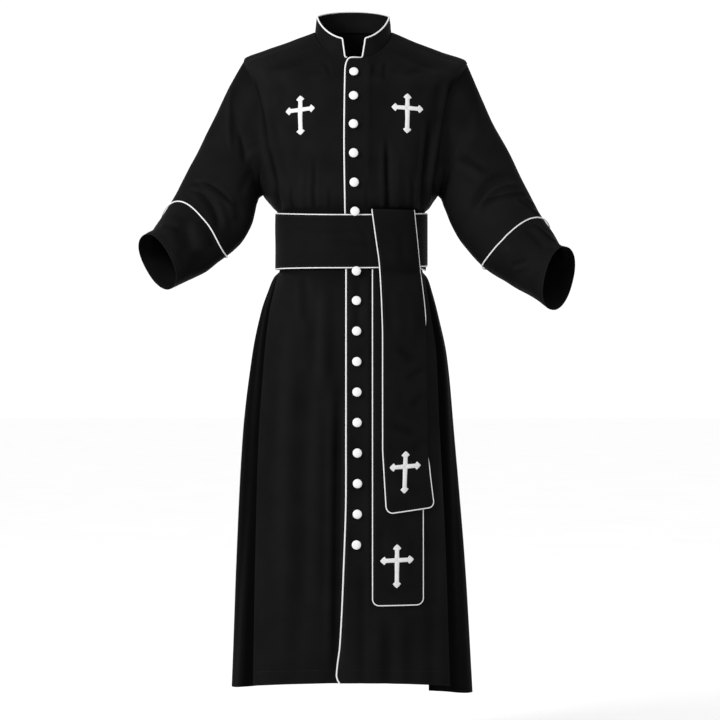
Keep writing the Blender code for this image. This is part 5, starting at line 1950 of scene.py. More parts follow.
@dataclass
class Sash:
    """The sash: a wound band, the wrap under it, two hanging tails and their cords."""

    form: WornForm
    tailor: Tailor
    half_width: float = 150.2
    front: float = 112
    back: float = 104
    centre_x: float = -3.9
    centre_y: float = 3
    under_lift: float = 4.9
    band_lift: float = 7.1
    band_high_lift: float = 8.3
    hook_lift: float = 12.4
    tail_lift: float = 9.2
    closing_turn: float = 30
    rises: tuple[float, float] = (8, 12.5)
    falls: tuple[float, float] = (121, 131)
    top_z: tuple[float, float, float, float] = (-390, -381, -381, -378)
    bottom_z: tuple[float, float, float, float] = (-496, -488, -495, -490)
    hook_z: float = -381.5
    hook_end_z: float = -404
    corner: float = 12
    cord_aside: float = SASH_CORD + 0.1
    tail_cord_lift: float = 1.3
    upper_foot: tuple[float, float] = (-997, -988)
    lower_foot: tuple[float, float] = (-1184, -1184)
    wrap_turns: tuple[float, float] = (64, 118)
    wrap_top: float = -472

    def __post_init__(self) -> None:
        """Work out the hook that the upper tail makes over the band's top."""
        self.hook_radius = (self.hook_lift - self.under_lift - DOUBLE_CLOTH) / 2
        self.hook_middle = self.hook_lift - self.hook_radius
        self.unevenness = SoftNoise(71, 15, 40)

    def wound(self, turn: Array, z: Array, lift: Array) -> Array:
        """A point wound on the waist: an upright oval, moved out by lift.

        Args:
            turn: angle round the body.
            z: height.
            lift: how far out the point lies.

        Returns:
            The point.
        """
        depths = (self.half_width + lift, self.front + lift, self.back + lift)
        return point_array(*oval_xy(turn, *depths, self.centre_x, self.centre_y), z)

    def wound_at_x(self, x: Array, z: Array, lift: Array) -> Array:
        """A point at this x on the front of the waist's oval, moved out by lift."""
        return self.wound(front_turn((x - self.centre_x) / (self.half_width + lift)), z, lift)

    def band_edge(self, turn: Array, heights: tuple[float, float, float, float]) -> Array:
        """Height of the band's edge at a turn, from its heights at the front, left, right and back.

        Args:
            turn: angle round the body.
            heights: the four heights.

        Returns:
            The height.
        """
        at_front, at_left, at_right, at_back = heights
        along = np.cos(np.radians(turn))
        side = np.where(np.sin(np.radians(turn)) > 0, at_left, at_right)
        return side + (np.where(along > 0, at_front, at_back) - side) * np.abs(along) ** FALL

    def lift_at(self, turn: Array) -> Array:
        """The band's lift: high over the tail and the inner wrap, low where it lies on the body.

        Args:
            turn: angle round the body.

        Returns:
            The lift.
        """
        turn = np.asarray(turn) % 360
        rises = ease((turn - self.rises[0]) / (self.rises[1] - self.rises[0]))
        falls = ease((turn - self.falls[0]) / (self.falls[1] - self.falls[0]))
        return self.band_lift + (self.band_high_lift - self.band_lift) * (rises - falls)

    def band_turns(self) -> Array:
        """Turns of the band's columns, closer together where it rises over the tail.

        Returns:
            The turns.
        """
        start, end = self.rises
        return np.concatenate([np.linspace(self.closing_turn + 0.2, 360 + start, 210),
                               np.linspace(360 + start, 360 + end, 12)[1:],
                               np.linspace(360 + end, 360 + self.closing_turn - 0.2, 14)[1:]])

    def cloth(self, part: str, points: Array) -> Piece:
        """One stretch of the sash's cloth, laid on points."""
        return self.tailor.sheet(f"sash_cloth_{part}", points, DOUBLE_CLOTH, Slot.SASH, [f"sash_{part}"])

    def cord(self, part: str, path: Array) -> Piece:
        """The cord of one of its edges."""
        return self.tailor.cord(f"cord_{part}", path, SASH_CORD, [f"piping_{part}"])

    def build_band(self) -> Piece:
        """The band, with long shallow creases between its two firm edges.

        Returns:
            The band.
        """
        turn, v = np.meshgrid(self.band_turns(), np.linspace(0, 1, 34))
        low, high = self.band_edge(turn, self.bottom_z), self.band_edge(turn, self.top_z)
        z = low + (high - low) * v
        flat = self.wound(turn, z, self.lift_at(turn))
        toward_front = np.cos(np.radians(turn))
        height = 0.35 * self.unevenness.at(turn, z)
        for crease in BAND_CREASES:
            height = height + crease.rise(flat[..., 0], z, toward_front)
        height = height * ease(v / 0.16) * ease((1 - v) / 0.16)
        height = height * (1 - ease((np.minimum(turn % 360, 150) - self.rises[0]) / 8) * (turn % 360 < 150))
        points = self.wound(turn, z, self.lift_at(turn) + height)
        return self.cloth("band", points)

    def on_skirt(self, x: Array, z: Array, lift: Array) -> Array:
        """A point near this x and height, moved out by lift from the front of the skirt.

        Args:
            x: across the garment.
            z: height.
            lift: how far out the point lies.

        Returns:
            The point.
        """
        level = self.form.level_at_place(x, z)
        outward = self.form.normal(self.form.turn_at_x(x, level), level)
        outward[..., 2] = 0
        turn = self.form.turn_at_x(x - outward[..., 0] * lift, level)
        point = self.form.smooth(turn, level) + unit(outward) * np.asarray(lift)[..., None]
        return point_array(x, point[..., 1], z)

    def hanging(self, x: Array, z: Array, lift: Array) -> Array:
        """A point of a hanging tail, on the waist's oval above and on the skirt below.

        Args:
            x: across the garment.
            z: height.
            lift: how far out the point lies.

        Returns:
            The point.
        """
        x, z = np.broadcast_arrays(np.asarray(x, float), np.asarray(z, float))
        lift = np.broadcast_to(lift, x.shape)
        share = ease((-470 - z) / 20)[..., None]
        return self.wound_at_x(x, z, lift) * (1 - share) + self.on_skirt(x, z, lift) * share

    def upper_point(self, x: Array, z: Array, lift: Array = 0.0) -> Array:
        """A point of the upper tail, moved out by lift, with its creases and its rolled edge.

        Args:
            x: across the garment.
            z: height.
            lift: how far out the point lies.

        Returns:
            The point.
        """
        base = self.hook_lift + (self.tail_lift - self.hook_lift) * ease((-514 - z) / 86)
        height = 0.4 * self.unevenness.at(x, z) * ease((-500 - z) / 60)
        for crease in UPPER_TAIL_CREASES:
            height = height + crease.rise(x, z, 1.0)
        from_edge = UPPER_TAIL.at(z, "right") - x
        rolled = 2.4 * UPPER_TAIL.at(z, "tucked") * ease(1 - from_edge / 9) * ease(from_edge / 2 + 1.5)
        return self.hanging(x, z, base + height - rolled + lift)

    def lower_point(self, x: Array, z: Array, lift: Array = 0.0) -> Array:
        """A point of the lower tail, moved out by lift.

        Args:
            x: across the garment.
            z: height.
            lift: how far out the point lies.

        Returns:
            The point.
        """
        height = 0.35 * self.unevenness.at(x + 60, z) * ease((-1010 - z) / 40)
        for crease in LOWER_TAIL_CREASES:
            height = height + crease.rise(x, z, 1.0) * ease((-1000 - z) / 30)
        return self.hanging(x, z, self.under_lift + height + lift)

    def tail_grid(self, table: SmoothTable, foot: tuple[float, float], top: float,
                  columns: int) -> tuple[Array, Array]:
        """x and z of a tail's grid, bottom row first, with rounded bottom corners.

        Args:
            table: the tail's edges.
            foot: its bottom edge's height at its left and right corners.
            top: height of its top row.
            columns: steps across it.

        Returns:
            Two grids, of x and of z.
        """
        angles = np.radians(np.linspace(90, 0, 9))
        up, inset = self.corner * (1 - np.sin(angles)), self.corner * (1 - np.cos(angles))
        above = np.arange(max(foot) + self.corner + 5, top, 4.6)
        left_z = np.concatenate([foot[0] + up, above, [top]])
        right_z = np.concatenate([foot[1] + up, above, [top]])
        inset = np.concatenate([inset, np.zeros(len(above) + 1)])
        left, right = table.at(left_z, "left") + inset, table.at(right_z, "right") - inset
        share = self.tail_columns(columns)
        x = left[:, None] + (right - left)[:, None] * share
        return x, left_z[:, None] + (right_z - left_z)[:, None] * share

    def tail_columns(self, count: int) -> Array:
        """Shares of the tails' columns from their left edge to their right one."""
        return spread(count, 95, (0, 0.8, 1.8))[None, :]

    def build_upper_tail(self) -> Piece:
        """The tail that comes up from behind the band, over its top and down the front.

        Returns:
            The tail.
        """
        x, z = self.tail_grid(UPPER_TAIL, self.upper_foot, -410, 30)
        down = self.upper_point(x, z)
        angles = np.radians(np.linspace(0, 180, 15))
        lifts = np.concatenate([np.full(5, self.hook_lift),
                                self.hook_middle + self.hook_radius * np.cos(angles),
                                np.full(4, self.under_lift + DOUBLE_CLOTH)])
        heights = np.concatenate([np.linspace(-405, -386, 5),
                                  self.hook_z + self.hook_radius * np.sin(angles),
                                  np.linspace(-387, self.hook_end_z, 4)])
        ends = np.minimum(heights, self.hook_z)
        left, right = (UPPER_TAIL.at(ends, column)[:, None] for column in ("left", "right"))
        across = left + (right - left) * self.tail_columns(30)
        over = self.wound_at_x(across, heights[:, None], lifts[:, None])
        return self.cloth("tail_upper", np.vstack([down, over]))

    def build_lower_tail(self) -> Piece:
        """The longer tail, which comes out from under the band."""
        x, z = self.tail_grid(LOWER_TAIL, self.lower_foot, -468, 28)
        return self.cloth("tail_lower", self.lower_point(x, z))

    def build_inner_wrap(self) -> Piece:
        """The layer of the sash that shows under the band at the wearer's left.

        Returns:
            The layer.
        """
        turn, v = np.meshgrid(np.linspace(*self.wrap_turns, 44), np.linspace(0, 1, 8))
        foot = INNER_WRAP.at(turn, "z")
        return self.cloth("inner_wrap", self.wound(turn, foot + (self.wrap_top - foot) * v, self.under_lift))

    def beside(self, place: Place, x: Array, z: Array, away: tuple[Array, Array], lift: Array) -> Array:
        """Points beside a sheet's edge.

        Args:
            place: the sheet's surface.
            x: x of points of the edge.
            z: their heights.
            away: how far out of the edge they lie, across and up along the sheet.
            lift: how far they stand out from the sheet.

        Returns:
            The points.
        """
        x, z = np.broadcast_arrays(np.asarray(x, float), np.asarray(z, float))
        over = unit(place(x + 0.5, z) - place(x - 0.5, z))
        rise = unit(place(x, z + 0.5) - place(x, z - 0.5))
        across, up, lift = (np.broadcast_to(value, x.shape)[..., None] for value in (*away, lift))
        return place(x, z) + over * across + rise * up + np.cross(over, rise) * lift

    def tail_cord(self, table: SmoothTable, place: Place, foot: tuple[float, float], top: float,
                  lift: float) -> Array:
        """The path of the cord down a tail's left edge, round its foot and up its right edge.

        Args:
            table: the tail's edges.
            place: the tail's surface.
            foot: its bottom edge's height at its left and right corners.
            top: where the cord starts and ends.
            lift: how far it stands out from the tail's inner face.

        Returns:
            The path.
        """
        aside = self.cord_aside
        angles = np.radians(np.linspace(0, 90, 7))
        back = angles[::-1]
        up, inset = self.corner * (1 - np.sin(angles)), self.corner * (1 - np.cos(angles))
        down_z = np.arange(top, foot[0] + self.corner, -9.0)
        path = [self.beside(place, table.at(down_z, "left"), down_z, (-aside, 0), lift)]
        z = foot[0] + up
        round_left = (-aside * np.cos(angles), -aside * np.sin(angles))
        path.append(self.beside(place, table.at(z, "left") + inset, z, round_left, lift))
        share = np.linspace(0, 1, 10)[1:-1]
        start = float(table.at(foot[0], "left")) + self.corner
        end = float(table.at(foot[1], "right")) - self.corner
        z = foot[0] + (foot[1] - foot[0]) * share
        path.append(self.beside(place, start + (end - start) * share, z, (0, -aside), lift))
        z = (foot[1] + up)[::-1]
        round_right = (aside * np.cos(back), -aside * np.sin(back))
        path.append(self.beside(place, table.at(z, "right") - inset[::-1], z, round_right, lift))
        z = down_z[::-1]
        z = z[z > foot[1] + self.corner]
        tucked = table.at(z, "tucked")
        behind, inward = np.minimum(2 * tucked, 1), np.maximum(2 * tucked - 1, 0)
        rolled = aside + (-0.8 - aside) * inward
        path.append(self.beside(place, table.at(z, "right"), z, (rolled, 0), lift - 3.6 * behind))
        return np.vstack(path)

    def hook_cord(self, column: str, aside: float) -> Array:
        """The cord of the upper tail's edge over the top of the hook, from its hidden end outwards.

        Args:
            column: the edge's column in the tail's table.
            aside: how far beside the edge it runs.

        Returns:
            The path.
        """
        x = float(UPPER_TAIL.at(self.hook_z, column))
        path = []
        for degrees in (90, 65, 40, 15, 0):
            angle = math.radians(degrees)
            lift = self.hook_middle + self.hook_radius * math.cos(angle)
            z = self.hook_z + self.hook_radius * math.sin(angle)
            here = self.wound_at_x(np.array(x), np.array(z), np.array(lift))
            across = unit(self.wound_at_x(np.array(x + 0.5), np.array(z), np.array(lift)) - here)
            outward = np.cross(across, [0, 0, 1.0]) * math.cos(angle) + np.array([0, 0, math.sin(angle)])
            path.append(here + across * aside + outward * self.tail_cord_lift)
        return np.array(path)

    def build_cords(self) -> dict[str, Piece]:
        """The cords of the band, of both tails and of the inner wrap.

        Returns:
            The cords by the part that they edge.
        """
        cords = {}
        turns = self.band_turns()[::3]
        for name, heights, away in (("top", self.top_z, 1), ("bottom", self.bottom_z, -1)):
            z = self.band_edge(turns, heights) + away * self.cord_aside
            path = self.wound(turns, z, self.lift_at(turns) + DOUBLE_CLOTH / 2)
            cords[name] = self.cord(f"band_{name}", path)
        upper = self.tail_cord(UPPER_TAIL, self.upper_point, self.upper_foot, -392, self.tail_cord_lift)
        left, right = self.hook_cord("left", -self.cord_aside), self.hook_cord("right", self.cord_aside)
        cords["tail_upper"] = self.cord("tail_upper", np.vstack([left, upper, right[::-1]]))
        path = self.tail_cord(LOWER_TAIL, self.lower_point, self.lower_foot, -500, DOUBLE_CLOTH / 2)
        cords["tail_lower"] = self.cord("tail_lower", path)
        turns = np.linspace(self.wrap_turns[0], 96, 12)
        z = INNER_WRAP.at(turns, "z") - self.cord_aside
        path = self.wound(turns, z, self.under_lift + DOUBLE_CLOTH / 2)
        cords["inner_wrap"] = self.cord("inner_wrap", path)
        return cords


# ---------------------------------------------------------------- buttons
@dataclass
class Buttons:
    """Sixteen covered shank buttons down the left front."""

    panels: BodyPanels
    tailor: Tailor
    radius: float = 9.4
    height: float = 6.5
    sides: int = 40
    shank_radius: float = 3
    count: int = 16
    on_sash: tuple[int, int] = (6, 7)
    short_shank: float = 1.4
    long_shank: float = 5.8

    def model(self, shank: float) -> Piece:
        """One button on its shank, standing on the origin: a crown drawn out ring by ring.

        Args:
            shank: length of the shank that shows.

        Returns:
            The button, closed, with its UV map lying flat over the dome.
        """
        profile = []
        for degrees in (9, 18, 27, 36, 46, 56, 66, 76, 86, 97, 110, 124):
            angle = math.radians(degrees)
            profile.append((self.radius * math.sin(angle), shank + self.height / 2 * (1 + math.cos(angle))))
        profile += [(self.radius * 0.74, shank + 0.35), (self.radius * 0.5, shank + 0.1),
                    (self.shank_radius + 0.8, shank), (self.shank_radius, shank - 0.6),
                    (self.shank_radius, -1.4)]
        deselect_all()
        bpy.ops.mesh.primitive_circle_add(vertices=self.sides, radius=profile[0][0] * MM, fill_type="TRIFAN",
                                          location=(0, 0, profile[0][1] * MM))
        button = bpy.context.active_object
        hub = min(button.data.vertices, key=lambda vertex: vertex.co.xy.length)
        hub.co.z = (shank + self.height - profile[0][1]) * MM
        bpy.ops.object.mode_set(mode="EDIT")
        bpy.ops.mesh.select_mode(type="EDGE")
        bpy.ops.mesh.select_all(action="DESELECT")
        bpy.ops.mesh.select_non_manifold()
        for (before, low), (after, lower) in zip(profile, profile[1:]):
            ratio = after / before
            bpy.ops.mesh.extrude_region_move(TRANSFORM_OT_translate={"value": (0, 0, (lower - low) * MM)})
            bpy.ops.transform.resize(value=(ratio, ratio, 1), center_override=(0, 0, 0))
        bpy.ops.mesh.fill()
        bpy.ops.mesh.select_all(action="SELECT")
        bpy.ops.mesh.normals_make_consistent(inside=False)
        bpy.ops.object.mode_set(mode="OBJECT")
        bpy.ops.object.transform_apply(location=True, rotation=False, scale=False)
        self.gather(button, shank)
        return button

    def gather(self, button: Piece, shank: float) -> None:
        """Draw the cloth into small gathers under the rim and lay the UV map flat over the dome.

        Args:
            button: the button, standing on the origin.
            shank: length of the shank that shows.
        """
        mesh = button.data
        for vertex in mesh.vertices:
            away, z = vertex.co.xy.length / MM, vertex.co.z / MM
            below = shank + self.height * 0.4 - z
            if below > 0 and away > self.shank_radius + 1:
                turn = math.atan2(vertex.co.y, vertex.co.x)
                depth = 0.22 * math.sin(turn * self.sides / 4 + 0.7) * min(below / 2, 1)
                vertex.co.xy *= 1 + depth / away
        layer = mesh.uv_layers.active or mesh.uv_layers.new(name="UVMap")
        for loop in mesh.loops:
            vertex = mesh.vertices[loop.vertex_index].co
            over = vertex.xy.length + max(shank * MM + self.height * 0.5 * MM - vertex.z, 0)
            scale = over / max(vertex.xy.length, 1e-9)
            layer.data[loop.index].uv = (vertex.x * scale, vertex.y * scale)

    def build(self) -> list[Piece]:
        """Sew a copy of the button at each of the frame's button nodes.

        Returns:
            The buttons, from the top.
        """
        models = {shank: self.model(shank) for shank in (self.short_shank, self.long_shank)}
        buttons = []
        for number in range(1, self.count + 1):
            node = f"button_{number:02d}"
            low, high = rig.box(node)
            middle = np.array((low + high) / 2) / MM
            level = self.panels.form.front_level(middle[2])
            normal = self.panels.form.normal(self.panels.form.turn_at_x(middle[0], level), level)
            shank = self.short_shank
            if number in self.on_sash:
                normal = unit(normal * [1, 1, 0])
                shank = self.long_shank
            foot = middle - normal * (shank + self.height) / 2
            button = models[shank].copy()
            button.data = models[shank].data.copy()
            button.name = f"covered_{node}"
            bpy.context.scene.collection.objects.link(button)
            turned = Vector(normal).to_track_quat("Z", "Y").to_matrix().to_4x4()
            spun = Matrix.Rotation(math.radians(37 * number), 4, "Z")
            button.data.transform(Matrix.Translation(Vector(foot * MM)) @ turned @ spun)
            choose(button)
            bpy.ops.object.shade_smooth_by_angle(angle=math.radians(70))
            buttons.append(self.tailor.dress(button, Slot.BUTTON, [node]))
        for model in models.values():
            bpy.data.objects.remove(model, do_unlink=True)
        return buttons


# ---------------------------------------------------------------- crosses
class CrossPlace(NamedTuple):
    """Middle of a cross, the slant of its upright and bar, and its size across and up on slanting cloth."""

    node: str
    x: float
    z: float
    upright: float
    bar: float
    wide: float
    tall: float


@dataclass
class Crosses:
    """Four crosses in satin stitch: two on the chest and one on each tail."""

    form: WornForm
    sash: Sash
    tailor: Tailor
    top: float = 32
    foot: float = 56
    side: float = 34
    crown: float = 1.25
    clear: float = 0.15

    def half_width(self, length: float) -> tuple[Array, Array]:
        """Half-widths along an arm, from its point at the middle to the barbed tip.

        Args:
            length: the arm's length.

        Returns:
            Distances from the middle, and the half-width at each.
        """
        near_tip = [length - 11.5, length - 10.8, length - 8.3, length - 4, length - 1, length]
        places = [0, 4.6, (length - 7) / 2, *near_tip]
        halves = [0.05, 4.6, 4.2, 4.3, 5.8, 8.4, 5.0, 1.9, 0.5]
        return np.array(places, dtype=float), np.array(halves)

    def arm(self, name: str, place: CrossPlace, surface: Place, run: tuple[int, int],
            length: float) -> Piece:
        """One arm, domed and mitred at the middle of the cross.

        Args:
            name: the arm's name while it is made.
            place: where the cross is.
            surface: the cloth that it is sewn on.
            run: direction along the arm, as steps across and up.
            length: the arm's length.

        Returns:
            The arm, an open domed surface.
        """
        keys, halves = self.half_width(length)
        along = np.unique(np.concatenate([keys, np.linspace(0, length, int(length / 1.1))]))
        half = np.interp(along, keys, halves)
        share = np.linspace(-1, 1, 13)[None, :]
        distance = np.repeat(along[:, None], 13, axis=1)
        aside = half[:, None] * share
        side = (run[0] * distance + run[1] * aside) * (place.wide if run[0] else 1)
        up = (run[1] * distance - run[0] * aside) * (place.tall if run[1] else 1)
        bar, upright = math.radians(place.bar), math.radians(place.upright)
        x = place.x + side * math.cos(bar) + up * math.sin(upright)
        z = place.z + side * math.sin(bar) + up * math.cos(upright)
        dome = self.crown * np.sqrt(np.maximum(1 - share ** 2, 0)) * np.minimum(half[:, None] / 4, 1) ** 0.5
        threads = 0.08 * np.sin(distance * 2 * math.pi / 2.2)
        points = surface(x, z, self.clear + dome + threads * (dome > 0.2))
        return lay_grid(name, points)

    def build_one(self, place: CrossPlace, surface: Place) -> Piece:
        """A whole cross, its four arms joined and given a back.

        Args:
            place: where the cross is.
            surface: the cloth that it is sewn on.

        Returns:
            The cross.
        """
        runs = (((0, 1), self.top), ((0, -1), self.foot), ((-1, 0), self.side), ((1, 0), self.side))
        arms = [self.arm(f"stitched_{place.node}_arm_{number}", place, surface, run, length)
                for number, (run, length) in enumerate(runs)]
        deselect_all()
        for arm in arms:
            arm.select_set(True)
        bpy.context.view_layer.objects.active = arms[0]
        bpy.ops.object.join()
        cross = bpy.context.active_object
        cross.name = cross.data.name = f"stitched_{place.node}"
        merge_close(cross, 0.12, recalculate=True)
        self.face_out(cross)
        apply_modifier(cross, "back", "SOLIDIFY", thickness=0.5 * MM, offset=-1.0)
        choose(cross)
        bpy.ops.object.shade_smooth_by_angle(angle=math.radians(50))
        return self.tailor.dress(cross, Slot.EMBROIDERY, [place.node])

    def face_out(self, cross: Piece) -> None:
        """Turn the open surface over if most of it faces the wearer.

        Args:
            cross: the open surface.
        """
        total = sum((polygon.normal.y * polygon.area for polygon in cross.data.polygons), 0.0)
        if total > 0:
            choose(cross)
            bpy.ops.object.mode_set(mode="EDIT")
            bpy.ops.mesh.select_all(action="SELECT")
            bpy.ops.mesh.flip_normals()
            bpy.ops.object.mode_set(mode="OBJECT")

    def on_chest(self, x: Array, z: Array, lift: Array) -> Array:
        """The outer face of a front, moved out by lift."""
        level = self.form.level_at_place(x, z)
        return self.form.point(self.form.turn_at_x(x, level), level, CLOTH + lift)

    def on_upper_tail(self, x: Array, z: Array, lift: Array) -> Array:
        """The outer face of the upper tail, moved out by lift."""
        return self.sash.upper_point(x, z, DOUBLE_CLOTH + lift)

    def on_lower_tail(self, x: Array, z: Array, lift: Array) -> Array:
        """The outer face of the lower tail, moved out by lift."""
        return self.sash.lower_point(x, z, DOUBLE_CLOTH + lift)

    def build(self) -> list[Piece]:
        """Make the four crosses.

        Returns:
            The crosses.
        """
        places = (
            (CrossPlace("cross_chest_right", -107.5, -173, -1, 6.5, 0.87, 0.93), self.on_chest),
            (CrossPlace("cross_chest_left", 111.5, -169, 1.5, -4, 0.94, 0.94), self.on_chest),
            (CrossPlace("cross_tail_upper", 107, -904, 2, 4, 0.93, 0.97), self.on_upper_tail),
            (CrossPlace("cross_tail_lower", 90, -1094, 0.5, 2, 1.0, 1.0), self.on_lower_tail),
        )
        return [self.build_one(place, surface) for place, surface in places]


# ---------------------------------------------------------------- rows of stitches
@dataclass
class Stitching:
    """Rows of black stitches beside the front edge, the hem, the cuffs and the sash's edges."""

    panels: BodyPanels
    sash: Sash
    sleeves: Sequence[Sleeve]
    tailor: Tailor
    pitch: float = 3.6
    length: float = 2.5
    thickness: float = 0.5

    def stitch(self) -> tuple[Array, Array]:
        """Points and faces of one stitch, a short capsule lying along x.

        Returns:
            Its points in millimetres and its faces' point numbers.
        """
        deselect_all()
        bpy.ops.mesh.primitive_uv_sphere_add(segments=6, ring_count=4, radius=0.5)
        sphere = bpy.context.active_object
        sphere.rotation_euler = (0, math.radians(90), 0)
        bpy.ops.object.transform_apply(rotation=True)
        points = np.array([vertex.co[:] for vertex in sphere.data.vertices])
        points = points * [self.length, self.thickness, self.thickness * 0.8]
        faces = [tuple(polygon.vertices) for polygon in sphere.data.polygons]
        bpy.data.objects.remove(sphere, do_unlink=True)
        return points, faces

    def row(self, name: str, line: Array, slot: Slot) -> Piece:
        """A row of stitches along a line that lies on the cloth.

        Args:
            name: the row's name.
            line: points of the line.
            slot: the slot of the cloth that it is sewn in.

        Returns:
            All its stitches as one mesh.
        """
        reach = np.concatenate([[0], np.cumsum(np.linalg.norm(np.diff(line, axis=0), axis=-1))])
        places = np.arange(self.pitch, reach[-1] - self.pitch, self.pitch)
        middle = np.stack([np.interp(places, reach, line[:, axis]) for axis in range(3)], axis=-1)
        ahead = np.stack([np.interp(places + 1, reach, line[:, axis]) for axis in range(3)], axis=-1)
        run = unit(ahead - middle)
        side = unit(np.cross(run, [0.21, 0.3, 0.93] if abs(run[0][2]) < 0.7 else [0.21, 0.93, 0.3]))
        out = np.cross(side, run)
        points, faces = self.stitch()
        axes = np.stack([run, side, out], axis=1)
        placed = middle[:, None] + np.einsum("pk,nkc->npc", points, axes)
        count = len(points)
        every = [tuple(index + n * count for index in face) for n in range(len(places)) for face in faces]
        mesh = bpy.data.meshes.new(name)
        mesh.from_pydata((placed.reshape(-1, 3) * MM).tolist(), [], every)
        piece = bpy.data.objects.new(name, mesh)
        bpy.context.scene.collection.objects.link(piece)
        choose(piece)
        bpy.ops.object.shade_smooth()
        self.tailor.dress(piece, slot, [])
        piece.data.materials[0] = self.tailor.thread
        return piece

    def build(self) -> list[Piece]:
        """Sew every row.

        Returns:
            The rows.
        """
        form, rows = self.panels.form, []
        heights = np.arange(-1316, -100, 6.0)
        x = FRONT_EDGE.at(heights, "x") + 4.5
        line = self.panels.left_point(x, form.front_level(heights), CLOTH)
        rows.append(self.row("stitches_front_edge", line, Slot.SUITING))
        for name, start, end in (("right", -48, -6), ("left", 0, 48), ("back", 132, 228)):
            turn = np.linspace(start, end, 90)
            level = np.full(turn.shape, HEM + 30.0)
            lift = np.full(turn.shape, CLOTH)
            if name == "left":
                lift = lift + self.panels.overlap(form.smooth(turn, level)[..., 0])
            rows.append(self.row(f"stitches_hem_{name}", form.point(turn, level, lift), Slot.SUITING))
        for sleeve in self.sleeves:
            around = np.linspace(0, 360, 120)
            line = sleeve.point(around, np.full(around.shape, sleeve.last - 0.22), CLOTH)
            rows.append(self.row(f"stitches_cuff_{sleeve.side.name.lower()}", line, Slot.SUITING))
        turns = np.linspace(125, 366, 260)
        for name, heights_at, away in (("top", self.sash.top_z, -4), ("bottom", self.sash.bottom_z, 4)):
            z = self.sash.band_edge(turns, heights_at) + away
            line = self.sash.wound(turns, z, self.sash.lift_at(turns) + DOUBLE_CLOTH)
            rows.append(self.row(f"stitches_band_{name}", line, Slot.SASH))
        for name, table, place, top, foot in (
                ("upper", UPPER_TAIL, self.sash.upper_point, -410, self.sash.upper_foot[0] + 14),
                ("lower", LOWER_TAIL, self.sash.lower_point, -505, self.sash.lower_foot[0] + 14)):
            z = np.arange(foot, top, 6.0)
            line = place(table.at(z, "left") + 4, z, DOUBLE_CLOTH)
            rows.append(self.row(f"stitches_tail_{name}", line, Slot.SASH))
        return rows


# ---------------------------------------------------------------- studio
@dataclass
class Studio:
    """The pale floor, the soft light and the camera."""

    floor_drop: float = 0.15
    camera_place: tuple[float, float, float] = (0.0147, -5.0, -0.6867)
    lens: float = 119.05
    world: float = 1.06
    key_power: float = 66

    def floor(self) -> Piece:
        """A wide flat floor just below the hem.

        Returns:
            The floor.
        """
        low, _ = cad_box
        deselect_all()
        bpy.ops.mesh.primitive_grid_add(x_subdivisions=8, y_subdivisions=8, size=60,
                                        location=(0, 0, low.z - self.floor_drop))
        floor = bpy.context.active_object
        floor.name = "studio_floor"
        bpy.ops.object.transform_apply(location=True)
        floor.data.materials.append(PaleFloor("studio_floor_paint").make())
        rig.stage(floor)
        return floor

    def light(self, name: str, power: float, size: float, place: Sequence[float],
              aim: Sequence[float]) -> None:
        """A large soft lamp.

        Args:
            name: the lamp's name.
            power: its watts.
            size: its side in metres.
            place: where it hangs.
            aim: what it points at.
        """
        lamp = bpy.data.lights.new(name, "AREA")
        lamp.energy = power
        lamp.size = size
        holder = bpy.data.objects.new(name, lamp)
        bpy.context.scene.collection.objects.link(holder)
        holder.location = place
        holder.rotation_euler = (Vector(aim) - Vector(place)).to_track_quat("-Z", "Y").to_euler()

    def build(self) -> None:
        """Set up the floor, the world, the lamps and the camera."""
        self.floor()
        scene = bpy.context.scene
        scene.view_settings.view_transform = "Standard"
        world = bpy.data.worlds.new("studio_world")
        world.use_nodes = True
        world.node_tree.nodes["Background"].inputs["Color"].default_value = (1, 1, 1, 1)
        world.node_tree.nodes["Background"].inputs["Strength"].default_value = self.world
        scene.world = world
        low, high = cad_box
        middle = (low + high) / 2
        self.light("key_lamp", self.key_power, 0.9, (-1.8, -1.7, 0.6), middle + Vector((-0.1, 0, 0.25)))
        camera = bpy.data.cameras.new("camera")
        camera.lens = self.lens
        camera.sensor_width = 36
        holder = bpy.data.objects.new("camera", camera)
        holder.location = self.camera_place
        holder.rotation_euler = (math.radians(90), 0, 0)
        scene.collection.objects.link(holder)
        scene.camera = holder


# ---------------------------------------------------------------- the cloth's cut
class Cut(NamedTuple):
    """The flat size of a sheet before it was sewn and worn, in metres and square metres."""

    width: float
    length: float
    area: float
    hold: Hold
    rests_on: tuple[str, ...]


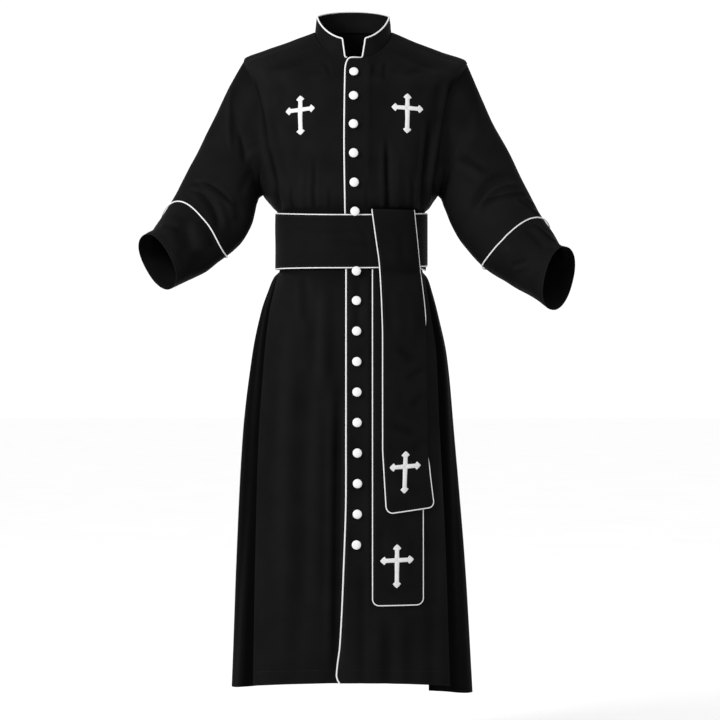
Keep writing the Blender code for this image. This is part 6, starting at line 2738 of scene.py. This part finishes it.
def declare_cuts(sheets: dict[str, Piece], cords: dict[str, Sequence[Piece]]) -> None:
    """Declare every sheet of cloth with the size of what shows of its cut.

    Args:
        sheets: the sheets by their frame nodes.
        cords: the pieces that are sewn on some of them, by the same nodes.
    """
    cuts = {
        "front_right": Cut(0.30, 1.36, 0.316, Hold.HUNG, ()),
        "front_left": Cut(0.30, 1.36, 0.298, Hold.HUNG, ("front_right",)),
        "back": Cut(0.56, 1.42, 0.602, Hold.HUNG, ()),
        "gore_left": Cut(0.44, 0.95, 0.267, Hold.HUNG, ()),
        "gore_right": Cut(0.44, 0.94, 0.263, Hold.HUNG, ()),
        "collar": Cut(0.42, 0.055, 0.0186, Hold.STRETCHED, ("front_left", "front_right", "back")),
        "sleeve_left": Cut(0.49, 0.40, 0.147, Hold.HUNG, ("front_left", "back")),
        "sleeve_right": Cut(0.47, 0.39, 0.1325, Hold.HUNG, ("front_right", "back")),
        "cuff_left": Cut(0.38, 0.15, 0.051, Hold.HUNG, ("sleeve_left",)),
        "cuff_right": Cut(0.36, 0.14, 0.0453, Hold.HUNG, ("sleeve_right",)),
        "sash_band": Cut(0.90, 0.115, 0.0994, Hold.STRETCHED, ("front_left", "front_right", "back")),
        "sash_inner_wrap": Cut(0.16, 0.026, 0.003, Hold.LAID, ("front_left",)),
        "sash_tail_upper": Cut(0.10, 0.66, 0.064, Hold.HUNG, ("sash_band", "sash_tail_lower")),
        "sash_tail_lower": Cut(0.105, 0.725, 0.0755, Hold.HUNG, ("front_left",)),
    }
    for node, cut in cuts.items():
        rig.sheet(sheets[node], flat=(cut.width, cut.length), held=cut.hold.value, rests_on=cut.rests_on,
                 area=cut.area, with_pieces=list(cords.get(node, ())))


def main() -> None:
    """Build the garment piece by piece, then the studio, and write the sizes."""
    logging.basicConfig(level=logging.INFO, format="%(name)s: %(message)s")
    materials = {
        Slot.SUITING: Twill("black_twill").make(),
        Slot.SASH: Twill("black_sash_twill", rib_pitch=0.5, rib_angle=62, drape=0.5).make(),
        Slot.PIPING: SatinCord("white_satin_cord").make(),
        Slot.BUTTON: CoveredButton("white_button_satin").make(),
        Slot.EMBROIDERY: SatinStitch("white_satin_stitch").make(),
    }
    tailor = Tailor(materials, SewingThread("black_thread").make())
    form = WornForm()
    panels = BodyPanels(form, tailor)
    sheets = panels.build()
    collar = Collar(panels, tailor)
    sheets["collar"] = collar.build()
    edge_cord = collar.build_cord()
    sleeves = [
        Sleeve(Side.LEFT, LEFT_RINGS, LEFT_SLEEVE_CREASES, form, tailor, CuffSeam(5.26, 0.2, -0.12, 0.2)),
        Sleeve(Side.RIGHT, RIGHT_RINGS, RIGHT_SLEEVE_CREASES, form, tailor,
               CuffSeam(5.15, -0.3, -0.35, 0.15)),
    ]
    for sleeve in sleeves:
        sheets.update(sleeve.build())
    sash = Sash(form, tailor)
    sheets["sash_band"] = sash.build_band()
    sheets["sash_inner_wrap"] = sash.build_inner_wrap()
    sheets["sash_tail_upper"] = sash.build_upper_tail()
    sheets["sash_tail_lower"] = sash.build_lower_tail()
    cords = sash.build_cords()
    buttons = Buttons(panels, tailor).build()
    crosses = Crosses(form, sash, tailor).build()
    Stitching(panels, sash, sleeves, tailor).build()
    declare_cuts(sheets, {
        "front_right": [crosses[0]],
        "front_left": [edge_cord, crosses[1], *buttons],
        "cuff_left": [sheets["cord_left"]],
        "cuff_right": [sheets["cord_right"]],
        "sash_band": [cords["top"], cords["bottom"]],
        "sash_inner_wrap": [cords["inner_wrap"]],
        "sash_tail_upper": [cords["tail_upper"], crosses[2]],
        "sash_tail_lower": [cords["tail_lower"], crosses[3]],
    })
    Studio().build()
    boxes = {"cad": cad_box, "visual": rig.bounds()}
    sizes = {name: [list(corner) for corner in box] for name, box in boxes.items()}
    with open("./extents.json", "w") as out:
        json.dump(sizes, out)
    log.info("%d pieces, box %s", len(tailor.made), sizes["visual"])


if __name__ == "__main__":
    main()
